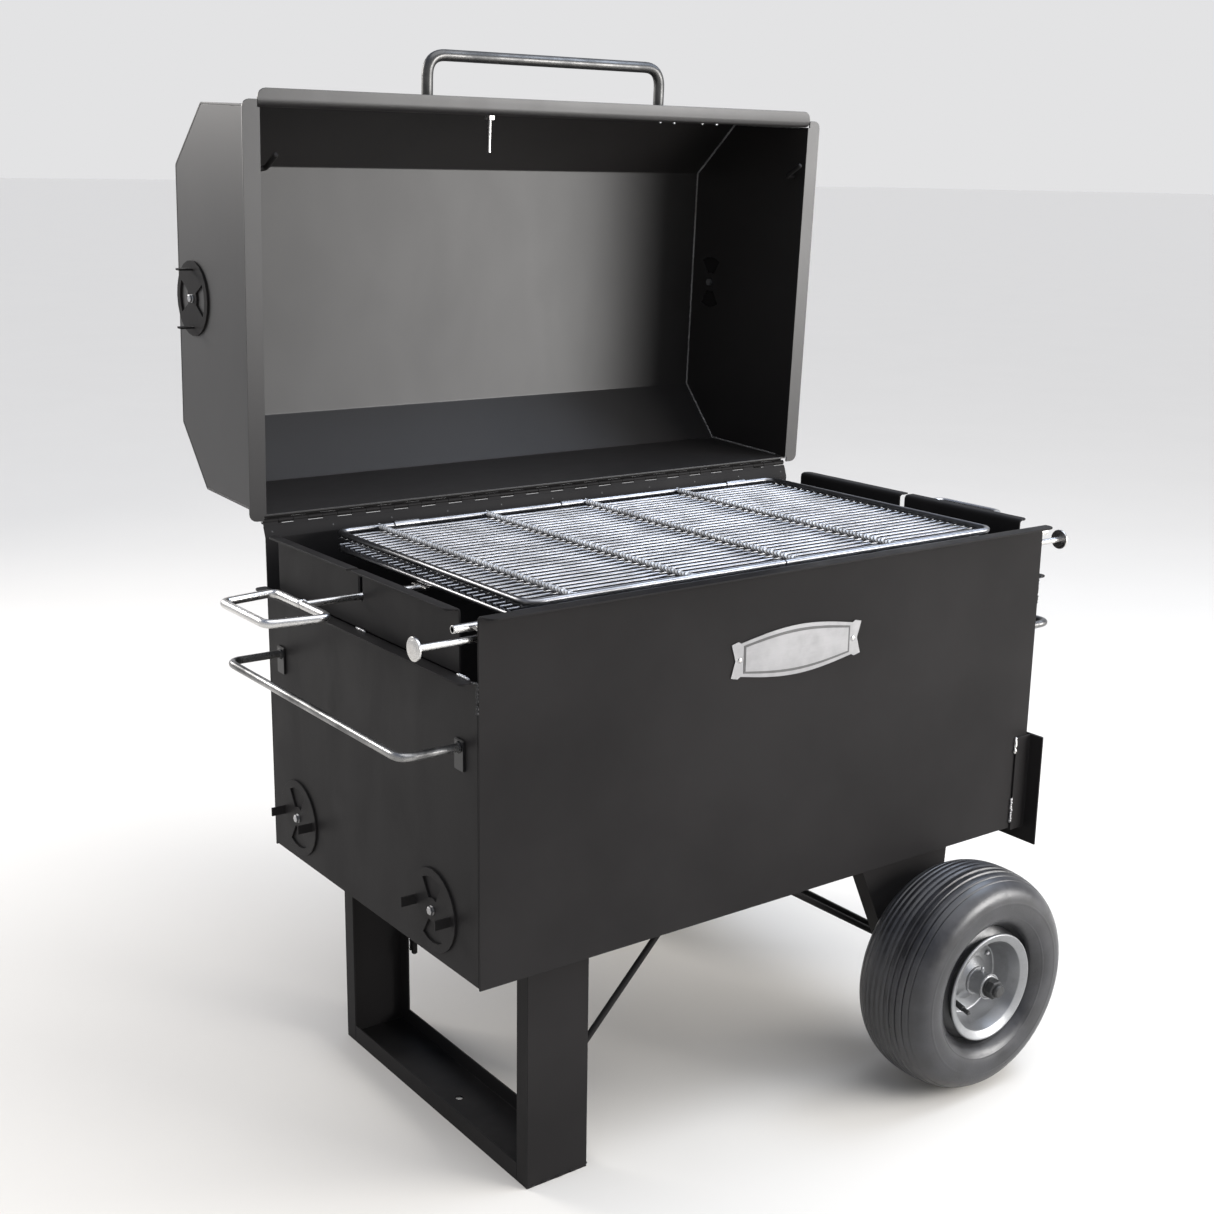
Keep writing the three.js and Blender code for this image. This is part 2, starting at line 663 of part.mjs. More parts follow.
body.add(
  named('front_wall', frontWall(), PAINT),
  named('back_wall', backWall(), PAINT),
  named('floor_pan', floorPan(), PAINT),
  named('end_wall_left', endWallLeft(), PAINT),
  named('end_wall_right', endWallRight(), PAINT),
  named('drawer_frame', drawerFrame(), PAINT),
  named('hinge_leaf_body', bodyLeaf(), ZINC),
  named('hinge_pin', hingePin(), ZINC),
  named('name_plate', namePlate(), STAINLESS),
  named('leg_upright_front', legUpright(true), PAINT),
  named('leg_upright_rear', legUpright(false), PAINT),
  named('leg_foot', legFoot(), PAINT),
  named('axle', axle(), ZINC),
  named('latch_rod', latchRod(), STAINLESS),
  named('lower_grate', grate(GRATE.low, 1), STAINLESS),
  named('upper_grate', grate(GRATE.high, -1), STAINLESS),
  named('drawer', drawerPan(), PAINT),
  named('drawer_handle', drawerHandle(), PAINT),
);
addPair(body, 'rim_panel', rimPanel(), PAINT);
addPair(body, 'guide_tube', guideTube(), STAINLESS);
addPair(body, 'push_handle', pushHandle(), PAINT);
addPair(body, 'lid_stop', lidStop(), PAINT);
body.add(
  named('flip_handle_left', flipHandle(GRATE.x0), STAINLESS),
  named('flip_handle_right', mirroredX(flipHandle(LENGTH - GRATE.x1)), STAINLESS),
);
addFrontAndRear(body, 'leg_brace', legBrace(), PAINT);
addFrontAndRear(body, 'axle_brace', axleBrace(), PAINT);
addFrontAndRear(body, 'axle_bracket', axleBracket(), PAINT);
addFrontAndRear(body, 'axle_nut', axleNut(), ZINC);
addFrontAndRear(body, 'tyre', tyre(), TYRE);
addFrontAndRear(body, 'wheel_rim', wheelRim(), RIM_PAINT);
[225, 546, 911].forEach((x, i) => body.add(named(`grate_strap_${i + 1}`, grateStrap(x), STAINLESS)));
Object.entries(BODY_VENTS).forEach(([place, [y, z]]) => {
  body.add(
    named(`vent_disc_${place}`, ventDisc().translate(-GAP, y, z), PAINT),
    named(`vent_bolt_${place}`, ventBolt().translate(0, y, z), ZINC),
  );
});

const gauge = thermometer();
hoodFrame.add(
  named('hood_shell', cut(hoodShell(), gauge.hole), PAINT),
  named('thermometer', gauge.body, STAINLESS),
  named('hood_handle', hoodHandle(), PAINT),
  named('hood_plate', hoodPlate(), STAINLESS),
  named('hinge_leaf_hood', hoodLeaf(), ZINC),
);
addPair(hoodFrame, 'hood_end', hoodEnd(), PAINT);
addPair(hoodFrame, 'hood_hook', hoodHook(), PAINT);
const hoodDisc = ventDisc().translate(HOOD_END_X - GAP, ...HOOD_VENT);
const hoodBolt = ventBolt().translate(HOOD_END_X, ...HOOD_VENT);
addPair(hoodFrame, 'hood_vent_disc', hoodDisc, PAINT);
addPair(hoodFrame, 'hood_vent_bolt', hoodBolt, ZINC);

// The hood turns about the hinge pin. Its pieces are drawn shut, then swung open.
hoodFrame.position.set(0, -HINGE_Y, -HINGE_Z);
hood.add(hoodFrame);
hood.position.set(0, HINGE_Y, HINGE_Z);
hood.rotation.x = -HOOD_OPEN;

// The origin stands on the ground, under the middle of the whole object's box.
const smoker = new THREE.Group();
smoker.add(body, hood);
smoker.updateMatrixWorld(true);
const extent = new THREE.Box3().setFromObject(smoker, true);
const centre = extent.getCenter(new THREE.Vector3());
smoker.position.set(-centre.x, -centre.y, -extent.min.z);

export default smoker;
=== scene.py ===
import math
import bpy
import bmesh
from mathutils import Matrix, Vector
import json


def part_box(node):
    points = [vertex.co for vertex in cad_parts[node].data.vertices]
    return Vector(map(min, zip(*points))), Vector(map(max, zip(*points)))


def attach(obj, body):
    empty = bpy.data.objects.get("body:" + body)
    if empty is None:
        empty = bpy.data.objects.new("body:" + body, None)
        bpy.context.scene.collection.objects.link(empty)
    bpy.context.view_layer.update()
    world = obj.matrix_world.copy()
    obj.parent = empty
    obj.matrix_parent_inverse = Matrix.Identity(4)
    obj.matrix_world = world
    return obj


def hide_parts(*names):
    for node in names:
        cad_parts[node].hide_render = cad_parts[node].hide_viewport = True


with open("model.json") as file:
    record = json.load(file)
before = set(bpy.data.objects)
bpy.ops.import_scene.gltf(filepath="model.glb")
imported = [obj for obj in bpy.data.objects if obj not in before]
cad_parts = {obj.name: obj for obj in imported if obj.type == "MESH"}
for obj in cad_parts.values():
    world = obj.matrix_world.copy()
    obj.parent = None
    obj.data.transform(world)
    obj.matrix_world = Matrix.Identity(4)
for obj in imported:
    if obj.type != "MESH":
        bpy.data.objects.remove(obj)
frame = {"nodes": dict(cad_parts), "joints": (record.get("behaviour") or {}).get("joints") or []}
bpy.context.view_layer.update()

mm = 0.001
joints = {joint["name"]: joint for joint in frame["joints"]}

# The firebox's own corner: left end, front face, underside. Everything is placed from it.
wallLow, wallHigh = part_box("front_wall")
firebox = {"length": 1070, "depth": 620, "sheet": 3}
corner = Vector((wallLow.x, wallHigh.y - firebox["sheet"] * mm, wallLow.z))


def at(x, y, z):
    return corner + Vector((x, y, z)) * mm


def mirrorX(p):
    return (firebox["length"] - p[0], p[1], p[2])


def mirrorY(p):
    return (p[0], firebox["depth"] - p[1], p[2])


# Turns a piece drawn with the lid shut to where it stands with the lid open.
hingePoint = Vector(joints["lid_hinge"]["pos_m"])
lidSwing = (Matrix.Translation(hingePoint)
            @ Matrix.Rotation(math.radians(joints["lid_hinge"]["range_deg"][0]), 4, "X")
            @ Matrix.Translation(-hingePoint))

print("frame loaded:", len(frame["nodes"]), "nodes")


# A value in a node tree. Sums and products of values add their Math nodes.
class Wire:
    def __init__(self, net, socket):
        self.net = net
        self.socket = socket

    def __add__(self, other):
        return self.net.maths("ADD", self, other)

    __radd__ = __add__

    def __sub__(self, other):
        return self.net.maths("SUBTRACT", self, other)

    def __rsub__(self, other):
        return self.net.maths("SUBTRACT", other, self)

    def __mul__(self, other):
        return self.net.maths("MULTIPLY", self, other)

    __rmul__ = __mul__


class Net:
    def __init__(self, tree):
        self.tree = tree

    def node(self, kind, settings=None, values=None, out=0):
        made = self.tree.nodes.new(kind)
        for key, value in (settings or {}).items():
            if key == "stops":
                while len(made.color_ramp.elements) < len(value):
                    made.color_ramp.elements.new(0.5)
                for element, (place, colour) in zip(made.color_ramp.elements, value):
                    element.position = place
                    element.color = colour
            else:
                setattr(made, key, value)
        for key, value in (values or {}).items():
            if isinstance(value, Wire):
                self.tree.links.new(value.socket, made.inputs[key])
            else:
                made.inputs[key].default_value = value
        return Wire(self, made.outputs[out])

    def maths(self, operation, a, b):
        return self.node("ShaderNodeMath", {"operation": operation}, {0: a, 1: b})

    def vector(self, operation, a, b):
        return self.node("ShaderNodeVectorMath", {"operation": operation}, {0: a, 1: b})

    def axis(self, vector, name):
        return self.node("ShaderNodeSeparateXYZ", None, {"Vector": vector}, name)


# A material: one Principled shader and what feeds it.
class Finish(Net):
    def __init__(self, name, **fixed):
        self.material = bpy.data.materials.new(name)
        self.material.use_nodes = True
        super().__init__(self.material.node_tree)
        self.shader = self.tree.nodes["Principled BSDF"]
        for label, value in fixed.items():
            self.shader.inputs[label.replace("_", " ")].default_value = value
        self.place = self.node("ShaderNodeTexCoord", out="Object")

    def feed(self, label, value):
        self.tree.links.new(value.socket, self.shader.inputs[label])

    def noise(self, scale, detail=3, roughness=0.5, stretch=(1, 1, 1), distortion=0):
        where = self.vector("MULTIPLY", self.place, stretch)
        return self.node("ShaderNodeTexNoise", None, {"Vector": where, "Scale": scale, "Detail": detail,
                         "Roughness": roughness, "Distortion": distortion}, "Fac")

    def ramp(self, value, low, high, start=0.0, end=1.0):
        return self.node("ShaderNodeMapRange", {"interpolation_type": "SMOOTHSTEP"},
                         {"Value": value, "From Min": low, "From Max": high, "To Min": start,
                          "To Max": end})

    def blend(self, amount, first, second):
        return self.node("ShaderNodeMix", {"data_type": "RGBA"}, {0: amount, 6: first, 7: second}, 2)

    def bump(self, height, strength, distance):
        values = {"Height": height, "Strength": strength, "Distance": distance}
        return self.node("ShaderNodeBump", None, values)

    def facingUp(self):
        normal = self.node("ShaderNodeNewGeometry", out="Normal")
        return self.ramp(self.axis(normal, "Z"), 0.5, 0.95)


def rgb(level, tint=(1, 1, 1)):
    return (level * tint[0], level * tint[1], level * tint[2], 1)


paintLook = {"black": 0.0135, "tint": (1.06, 1.0, 1.0), "dusty": (0.05, (1.0, 0.98, 0.94)), "shine": 0.06,
             "gloss": 0.40, "spread": 0.10, "peelScale": 900, "peel": 0.10, "wave": 0.9, "cloud": 1.35,
             "dust": 1.0}


def makePaint(name, look, dents=()):
    f = Finish(name, Specular_IOR_Level=look["shine"])
    cloudy = f.noise(3.2, 4, 0.55)
    smudge = f.noise(11, 5, 0.62, (1, 1, 0.45), 0.4)
    dust = look["dust"] * f.facingUp() * f.ramp(f.noise(26, 6, 0.7), 0.38, 0.75)
    specks = f.ramp(f.noise(420, 2, 0.5), 0.70, 0.78)
    black, tint = look["black"], look["tint"]
    base = f.blend(f.ramp(cloudy, 0.3, 0.7), rgb(black, tint), rgb(black * look["cloud"], tint))
    base = f.blend(dust * 0.22 + specks * 0.08, base, rgb(*look["dusty"]))
    f.feed("Base Color", base)
    f.feed("Roughness", look["gloss"] + look["spread"] * f.ramp(smudge, 0.3, 0.72) + 0.12 * dust)
    height = f.noise(look["peelScale"], 2, 0.5) * look["peel"] + f.noise(5.5, 2, 0.4) * look["wave"]
    for place, radius, depth in dents:
        away = f.node("ShaderNodeVectorMath", {"operation": "DISTANCE"}, {0: f.place, 1: at(*place)},
                      "Value")
        height = height - f.ramp(away, 0, radius, depth, 0)
    f.feed("Normal", f.bump(height, 0.30, 0.0005))
    return f.material


frontDents = [((1005, 0, 398), 0.022, 1.6), ((934, 0, 322), 0.026, 1.4), ((86, 0, 395), 0.020, 1.2),
              ((700, 0, 180), 0.05, 0.7)]
blackPaint = makePaint("blackPaint", paintLook, frontDents)
hoodPaint = makePaint("hoodPaint", {**paintLook, "black": 0.011, "tint": (1.1, 1.0, 0.98), "shine": 0.60,
                                    "gloss": 0.41, "spread": 0.03, "wave": 0.1, "cloud": 1.25, "dust": 0.3})
trimPaint = makePaint("trimPaint",
                      {**paintLook, "black": 0.007, "tint": (1, 1, 1.04), "gloss": 0.30, "shine": 0.4})


# Bar stock whose thin black coat is rubbed through to the steel.
rubbedLook = {"steel": 0.30, "coat": 0.05, "gloss": 0.24}


def makeRubbed(name, look):
    f = Finish(name, Metallic=0.85)
    rubbed = f.ramp(f.noise(16, 5, 0.65, (1, 0.35, 1)), 0.34, 0.62)
    f.feed("Base Color", f.blend(rubbed, rgb(look["coat"]), rgb(look["steel"], (1, 0.99, 0.97))))
    f.feed("Roughness", look["gloss"] + 0.16 * (1 - rubbed))
    f.feed("Normal", f.bump(f.noise(260, 3, 0.5), 0.12, 0.0003))
    return f.material


rubbedBar = makeRubbed("rubbedBar", rubbedLook)
satinBar = makeRubbed("satinBar", {**rubbedLook, "steel": 0.10, "coat": 0.06, "gloss": 0.30})

steelLook = {"bright": (0.50, (1.0, 1.0, 1.02)), "dull": (0.34, (1.0, 0.99, 1.0)),
             "straw": (0.60, (1.0, 0.88, 0.68)), "gloss": 0.20, "spread": 0.10, "heat": 0.10,
             "stretch": (1, 9, 9), "relief": 0.10}


def makeSteel(name, **changes):
    look = {**steelLook, **changes}
    f = Finish(name, Metallic=1.0)
    drawn = f.noise(60, 5, 0.6, look["stretch"])
    patch = f.noise(14, 4, 0.6)
    hot = f.ramp(f.noise(6, 3, 0.6), 0.56, 0.72) * look["heat"]
    base = f.blend(f.ramp(patch, 0.35, 0.7), rgb(*look["bright"]), rgb(*look["dull"]))
    f.feed("Base Color", f.blend(hot, base, rgb(*look["straw"])))
    f.feed("Roughness",
           look["gloss"] + look["spread"] * f.ramp(drawn, 0.3, 0.72) + 0.05 * f.ramp(patch, 0.4, 0.7))
    f.feed("Normal", f.bump(drawn + 0.4 * f.noise(240, 2, 0.5), look["relief"], 0.0002))
    return f.material


grateSteel = makeSteel("grateSteel", bright=(0.30, (1, 1, 1.03)), dull=(0.20, (1, 1, 1.02)), heat=0.04,
                       stretch=(0.15, 1.5, 1.5), gloss=0.31, spread=0.05, relief=0.01)
barSteel = makeSteel("barSteel", bright=(0.34, (1, 0.99, 0.98)), dull=(0.22, (1, 0.98, 0.96)), gloss=0.36,
                     relief=0.04)
rodSteel = makeSteel("rodSteel", bright=(0.60, (1, 0.99, 0.97)), dull=(0.46, (1, 0.98, 0.96)), gloss=0.22,
                     stretch=(1, 6, 6))
platedSteel = makeSteel("platedSteel", bright=(0.5, (0.98, 1, 1.02)), gloss=0.28, heat=0.04,
                        stretch=(4, 4, 4))
weldSteel = makeSteel("weldSteel", bright=(0.66, (1, 1, 1)), gloss=0.3, spread=0.2, heat=0.3,
                      stretch=(3, 3, 3))
brushed = {"stretch": (0.6, 1, 30), "heat": 0, "relief": 0.16}
brushedPlate = makeSteel("brushedPlate", bright=(0.27, (1, 1, 1.02)), dull=(0.22, (1, 1, 1.02)),
                         gloss=0.42, **brushed)
etchedPlate = makeSteel("etchedPlate", bright=(0.11, (1, 1, 1)), dull=(0.09, (1, 1, 1)), gloss=0.5,
                        **brushed)


def makeRubber():
    f = Finish("tyreRubber", Specular_IOR_Level=0.6)
    fine = f.noise(330, 3, 0.6)
    worn = f.noise(19, 5, 0.65)
    dust = f.ramp(f.noise(34, 6, 0.7), 0.45, 0.8)
    base = f.blend(f.ramp(worn, 0.35, 0.7), rgb(0.012, (1, 1, 1.14)), rgb(0.026, (1, 1, 1.14)))
    f.feed("Base Color", f.blend(dust * 0.14, base, rgb(0.08, (1, 0.98, 0.95))))
    f.feed("Roughness", 0.27 + 0.14 * f.ramp(worn, 0.3, 0.7) + 0.2 * dust)
    f.feed("Normal", f.bump(fine * 0.5 + worn * 1.2, 0.3, 0.0007))
    return f.material


def makeRimPaint():
    f = Finish("rimSilver", Metallic=0.75)
    flakes = f.noise(900, 2, 0.6)
    grime = f.ramp(f.noise(22, 6, 0.7), 0.42, 0.78)
    base = f.blend(flakes, rgb(0.24, (0.98, 1, 1.03)), rgb(0.32, (0.99, 1, 1.02)))
    f.feed("Base Color", f.blend(grime * 0.35, base, rgb(0.15, (1, 0.96, 0.9))))
    f.feed("Roughness", 0.3 + 0.22 * grime + 0.06 * flakes)
    f.feed("Normal", f.bump(flakes + 3 * f.noise(40, 3, 0.5), 0.16, 0.0004))
    return f.material


def makeBlackPlastic():
    f = Finish("capRubber")
    grain = f.noise(500, 3, 0.6)
    f.feed("Base Color", f.blend(grain, rgb(0.014), rgb(0.03)))
    f.feed("Roughness", 0.42 + 0.2 * grain)
    f.feed("Normal", f.bump(grain, 0.2, 0.0004))
    return f.material


tyreRubber = makeRubber()
rimSilver = makeRimPaint()
capRubber = makeBlackPlastic()
print("finishes made:", len(bpy.data.materials))


def keep(name, mesh, finish, body, stands=(), sharp=35):
    obj = bpy.data.objects.new(name, mesh)
    bpy.context.scene.collection.objects.link(obj)
    mesh.materials.clear()
    mesh.materials.append(finish)
    if sharp:
        mesh.shade_smooth()
        mesh.set_sharp_from_angle(angle=math.radians(sharp))
    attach(obj, body)
    for node in stands:
        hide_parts(node)
    return obj


def settled(obj):
    done = bpy.data.meshes.new_from_object(obj.evaluated_get(bpy.context.evaluated_depsgraph_get()))
    bpy.data.objects.remove(obj)
    return done


def joined(name, meshes):
    made = bmesh.new()
    for mesh in meshes:
        made.from_mesh(mesh)
    result = bpy.data.meshes.new(name)
    made.to_mesh(result)
    made.free()
    return result


# A CAD node's plate with its corners eased and its facets merged.
def eased(node, width=0.7):
    source = frame["nodes"][node].data
    mesh = bpy.data.meshes.new(node + "Plate")
    mesh.from_pydata([v.co.copy() for v in source.vertices], [],
                     [list(p.vertices) for p in source.polygons])
    made = bmesh.new()
    made.from_mesh(mesh)
    bmesh.ops.remove_doubles(made, verts=made.verts, dist=0.00002)
    bmesh.ops.dissolve_limit(made, angle_limit=math.radians(1.5), verts=made.verts, edges=made.edges)
    made.to_mesh(mesh)
    made.free()
    mesh.shade_smooth()
    obj = bpy.data.objects.new("work", mesh)
    bpy.context.scene.collection.objects.link(obj)
    bevel = obj.modifiers.new("ease", "BEVEL")
    bevel.width = width * mm
    bevel.segments = 2
    bevel.limit_method = "ANGLE"
    bevel.angle_limit = math.radians(38)
    bevel.harden_normals = True
    bevel.use_clamp_overlap = True
    return settled(obj)


def plates(names, finish, body, width=0.7):
    for node in names:
        first, *rest = node.split("_")
        name = first + "".join(word.capitalize() for word in rest)
        keep(name, eased(node, width), finish, body, [node], sharp=0)


def rounded(points, radius, steps=6):
    points = [Vector(p) for p in points]
    out = [points[0]]
    for before, here, after in zip(points, points[1:], points[2:]):
        a, b = (before - here).normalized(), (after - here).normalized()
        half = a.angle(b) / 2
        if half > 1.55:
            out.append(here)
            continue
        reach = min(radius / math.tan(half), (before - here).length * 0.48, (after - here).length * 0.48)
        start, end = here + a * reach, here + b * reach
        for k in range(steps + 1):
            t = k / steps
            out.append((1 - t) ** 2 * start + 2 * t * (1 - t) * here + t * t * end)
    return out + [points[-1]]


# Bar along bent points, with slightly rounded ends. A twist turns each ring a little past the last.
def bar(points, radius, bend, sides=20, steps=8, cap=0.35, twist=0):
    path = rounded([at(*p) for p in points], bend * mm, steps) if bend else [at(*p) for p in points]
    radius *= mm
    made = bmesh.new()
    last = len(path) - 1
    tangents = [(path[min(i + 1, last)] - path[max(i - 1, 0)]).normalized() for i in range(last + 1)]
    side = tangents[0].orthogonal().normalized()
    loops = []
    for i, (here, along) in enumerate(zip(path, tangents)):
        side = (side - along * side.dot(along)).normalized()
        up = along.cross(side)
        sizes = [(0, 1)]
        if i == 0:
            sizes = [(0, 1 - cap), (cap * radius, 1)]
        if i == len(path) - 1:
            sizes = [(-cap * radius, 1), (0, 1 - cap)]
        for shift, share in sizes:
            angles = [2 * math.pi * k / sides + twist * i for k in range(sides)]
            loops.append([made.verts.new(here + along * shift + radius * share
                          * (math.cos(a) * side + math.sin(a) * up)) for a in angles])
    for lower, upper in zip(loops, loops[1:]):
        for k in range(sides):
            made.faces.new((lower[k], lower[(k + 1) % sides], upper[(k + 1) % sides], upper[k]))
    made.faces.new(reversed(loops[0]))
    made.faces.new(loops[-1])
    mesh = bpy.data.meshes.new("bar")
    bmesh.ops.recalc_face_normals(made, faces=made.faces)
    made.to_mesh(mesh)
    made.free()
    return mesh


# Closed outline of (radius, offset) points turned about an axis through centre.
def turned(profile, centre, axis="Y", sides=96, closed=True, way=1):
    made = bmesh.new()
    points = [(p[0] * mm, p[1] * mm * way) for p in profile]
    rings = []
    for k in range(sides):
        angle = 2 * math.pi * k / sides
        ring = []
        for radius, offset in points:
            u, v = radius * math.cos(angle), radius * math.sin(angle)
            place = {"Y": Vector((u, offset, v)), "X": Vector((offset, u, v)),
                     "Z": Vector((u, v, offset))}[axis]
            ring.append(made.verts.new(centre + place))
        rings.append(ring)
    count = len(points)
    for k in range(sides):
        one, two = rings[k], rings[(k + 1) % sides]
        for i in range(count if closed else count - 1):
            j = (i + 1) % count
            made.faces.new((one[i], one[j], two[j], two[i]))
    bmesh.ops.remove_doubles(made, verts=made.verts, dist=0.000005)
    bmesh.ops.recalc_face_normals(made, faces=made.faces)
    mesh = bpy.data.meshes.new("turned")
    made.to_mesh(mesh)
    made.free()
    return mesh


# Block between two opposite corners, with its edges eased.
def block(one, other, ease):
    made = bmesh.new()
    bmesh.ops.create_cube(made, size=1)
    one, other = at(*one), at(*other)
    for v in made.verts:
        v.co = Vector(((min if v.co[i] < 0 else max)(one[i], other[i]) for i in range(3)))
    bmesh.ops.bevel(made, geom=made.edges[:], offset=ease * mm, segments=2, affect="EDGES")
    bmesh.ops.recalc_face_normals(made, faces=made.faces)
    mesh = bpy.data.meshes.new("block")
    made.to_mesh(mesh)
    made.free()
    return mesh


# A Geometry Nodes tree with named inputs.
class Recipe(Net):
    def __init__(self, name, inputs):
        tree = bpy.data.node_groups.new(name, "GeometryNodeTree")
        super().__init__(tree)
        tree.interface.new_socket("Geometry", in_out="INPUT", socket_type="NodeSocketGeometry")
        tree.interface.new_socket("Geometry", in_out="OUTPUT", socket_type="NodeSocketGeometry")
        self.inputs = {}
        for label, kind in inputs.items():
            made = tree.interface.new_socket(label, in_out="INPUT", socket_type="NodeSocket" + kind)
            self.inputs[label] = made.identifier
        self.entry = tree.nodes.new("NodeGroupInput")

    def given(self, label):
        return Wire(self, self.entry.outputs[label])

    def finishWith(self, instances):
        real = self.node("GeometryNodeRealizeInstances", None, {"Geometry": instances})
        done = self.node("GeometryNodeSetMaterial", None,
                         {"Geometry": real, "Material": self.given("Finish")})
        out = self.tree.nodes.new("NodeGroupOutput")
        self.tree.links.new(done.socket, out.inputs["Geometry"])


def grown(recipe, points, edges, **values):
    mesh = bpy.data.meshes.new("seedPoints")
    mesh.from_pydata(points, edges, [])
    obj = bpy.data.objects.new("work", mesh)
    bpy.context.scene.collection.objects.link(obj)
    modifier = obj.modifiers.new("recipe", "NODES")
    modifier.node_group = recipe.tree
    for label, value in values.items():
        modifier[recipe.inputs[label]] = value
    return settled(obj)


# Straight round rods or knuckles, one on each point, lying along X.
def makeRodRecipe():
    r = Recipe("rodRow",
               {"Length": "Float", "Radius": "Float", "Sides": "Int", "Wobble": "Float", "Seed": "Int",
                          "Finish": "Material"})
    rod = r.node("GeometryNodeMeshCylinder", None, {"Vertices": r.given("Sides"), "Side Segments": 6,
                 "Radius": r.given("Radius"), "Depth": r.given("Length")}, "Mesh")
    wobble = r.given("Wobble")
    low = r.node("ShaderNodeCombineXYZ", None, {"X": wobble * -1, "Y": 1.5707963, "Z": wobble * -1})
    high = r.node("ShaderNodeCombineXYZ", None, {"X": wobble, "Y": 1.5707963, "Z": wobble})
    tilt = r.node("FunctionNodeRandomValue", {"data_type": "FLOAT_VECTOR"},
                  {0: low, 1: high, "Seed": r.given("Seed")})
    rods = r.node("GeometryNodeInstanceOnPoints", None,
                  {"Points": r.given("Geometry"), "Instance": rod, "Rotation": tilt})
    r.finishWith(rods)
    return r


# Overlapping ripples of weld metal along the lines of a seam.
def makeWeldRecipe():
    r = Recipe("weldBead", {"Spacing": "Float", "Bead": "Float", "Seed": "Int", "Finish": "Material"})
    line = r.node("GeometryNodeMeshToCurve", None, {"Mesh": r.given("Geometry")})
    steps = r.node("GeometryNodeResampleCurve", {"mode": "LENGTH"},
                   {"Curve": line, "Length": r.given("Spacing")})
    ripple = r.node("GeometryNodeMeshIcoSphere", None, {"Radius": r.given("Bead"), "Subdivisions": 2},
                    "Mesh")
    drift = r.given("Bead") * 0.28
    low = r.node("ShaderNodeCombineXYZ", None, {"X": drift * -1, "Y": drift * -1, "Z": drift * -1})
    high = r.node("ShaderNodeCombineXYZ", None, {"X": drift, "Y": drift, "Z": drift})
    stray = r.node("FunctionNodeRandomValue", {"data_type": "FLOAT_VECTOR"},
                   {0: low, 1: high, "Seed": r.given("Seed")})
    moved = r.node("GeometryNodeSetPosition", None, {"Geometry": steps, "Offset": stray})
    size = r.node("FunctionNodeRandomValue", {"data_type": "FLOAT"},
                  {2: 0.75, 3: 1.2, "Seed": r.given("Seed")}, 1)
    beads = r.node("GeometryNodeInstanceOnPoints", None,
                   {"Points": moved, "Instance": ripple, "Scale": size})
    r.finishWith(beads)
    return r


# Domed heads of screws or rivets, turned to face one way.
def makeHeadRecipe():
    r = Recipe("fastenerHeads",
               {"Radius": "Float", "Rise": "Float", "Facing": "Vector", "Finish": "Material"})
    dome = r.node("GeometryNodeMeshUVSphere", None,
                  {"Segments": 16, "Rings": 8, "Radius": r.given("Radius")}, "Mesh")
    flat = r.node("ShaderNodeCombineXYZ", None, {"X": 1.0, "Y": 1.0, "Z": r.given("Rise")})
    turn = r.node("FunctionNodeAlignRotationToVector", {"axis": "Z"}, {"Vector": r.given("Facing")})
    heads = r.node("GeometryNodeInstanceOnPoints", None,
                   {"Points": r.given("Geometry"), "Instance": dome, "Rotation": turn, "Scale": flat})
    r.finishWith(heads)
    return r


rodRecipe = makeRodRecipe()
weldRecipe = makeWeldRecipe()
headRecipe = makeHeadRecipe()


# Points round a circle that lies square to X or to Y, closed on its first point.
def hoop(centre, radius, steps, axis="X"):
    x, y, z = centre
    arms = []
    for k in range(steps + 1):
        a = math.radians(360 / steps * k)
        arms.append((radius * math.cos(a), radius * math.sin(a)))
    if axis == "X":
        return [(x, y + u, z + v) for u, v in arms]
    return [(x + u, y, z + v) for u, v in arms]


def welds(name, seams, bead, body, finish=weldSteel, seed=1, swing=None, spacing=0.62):
    points, edges = [], []
    for seam in seams:
        first = len(points)
        points += [at(*p) for p in seam]
        edges += [(first + i, first + i + 1) for i in range(len(seam) - 1)]
    mesh = grown(weldRecipe, points, edges, Spacing=bead * spacing * mm, Bead=bead * mm, Seed=seed,
                 Finish=finish)
    if swing:
        mesh.transform(swing)
    return keep(name, mesh, finish, body, sharp=60)


def heads(name, points, radius, rise, facing, body, finish, swing=None):
    mesh = grown(headRecipe, [at(*p) for p in points], [], Radius=radius * mm, Rise=rise, Facing=facing,
                 Finish=finish)
    if swing:
        mesh.transform(swing)
    return keep(name, mesh, finish, body, sharp=60)


print("recipes made")

# Sheet metal of the firebox, the leg frame and the drawer.
plates(["front_wall", "back_wall", "floor_pan", "end_wall_left", "end_wall_right", "rim_panel_left",
        "rim_panel_right", "drawer_frame", "leg_upright_front", "leg_upright_rear", "leg_foot",
        "axle_bracket_front", "axle_bracket_rear", "lid_stop_left", "lid_stop_right"],
       blackPaint, "firebox")
plates(["drawer"], blackPaint, "ash_drawer")
plates(["vent_disc_front"], blackPaint, "vent_front")
plates(["vent_disc_rear"], blackPaint, "vent_rear")
plates(["hood_shell", "hood_end_left", "hood_end_right"], hoodPaint, "hood")
plates(["hood_vent_disc_left"], blackPaint, "hood_vent_left")
plates(["hood_vent_disc_right"], blackPaint, "hood_vent_right")
plates(["grate_strap_1", "grate_strap_2", "grate_strap_3"], grateSteel, "flip_frame", 0.3)
print("sheet metal done")

# Push handles: a bent bar on two small plates.
pushHandle = {"bar": 6, "bend": 22, "reach": 88.5, "height": 330, "ends": (45, 573), "plate": 12,
              "drop": 32, "rise": 11, "collar": 6.2}


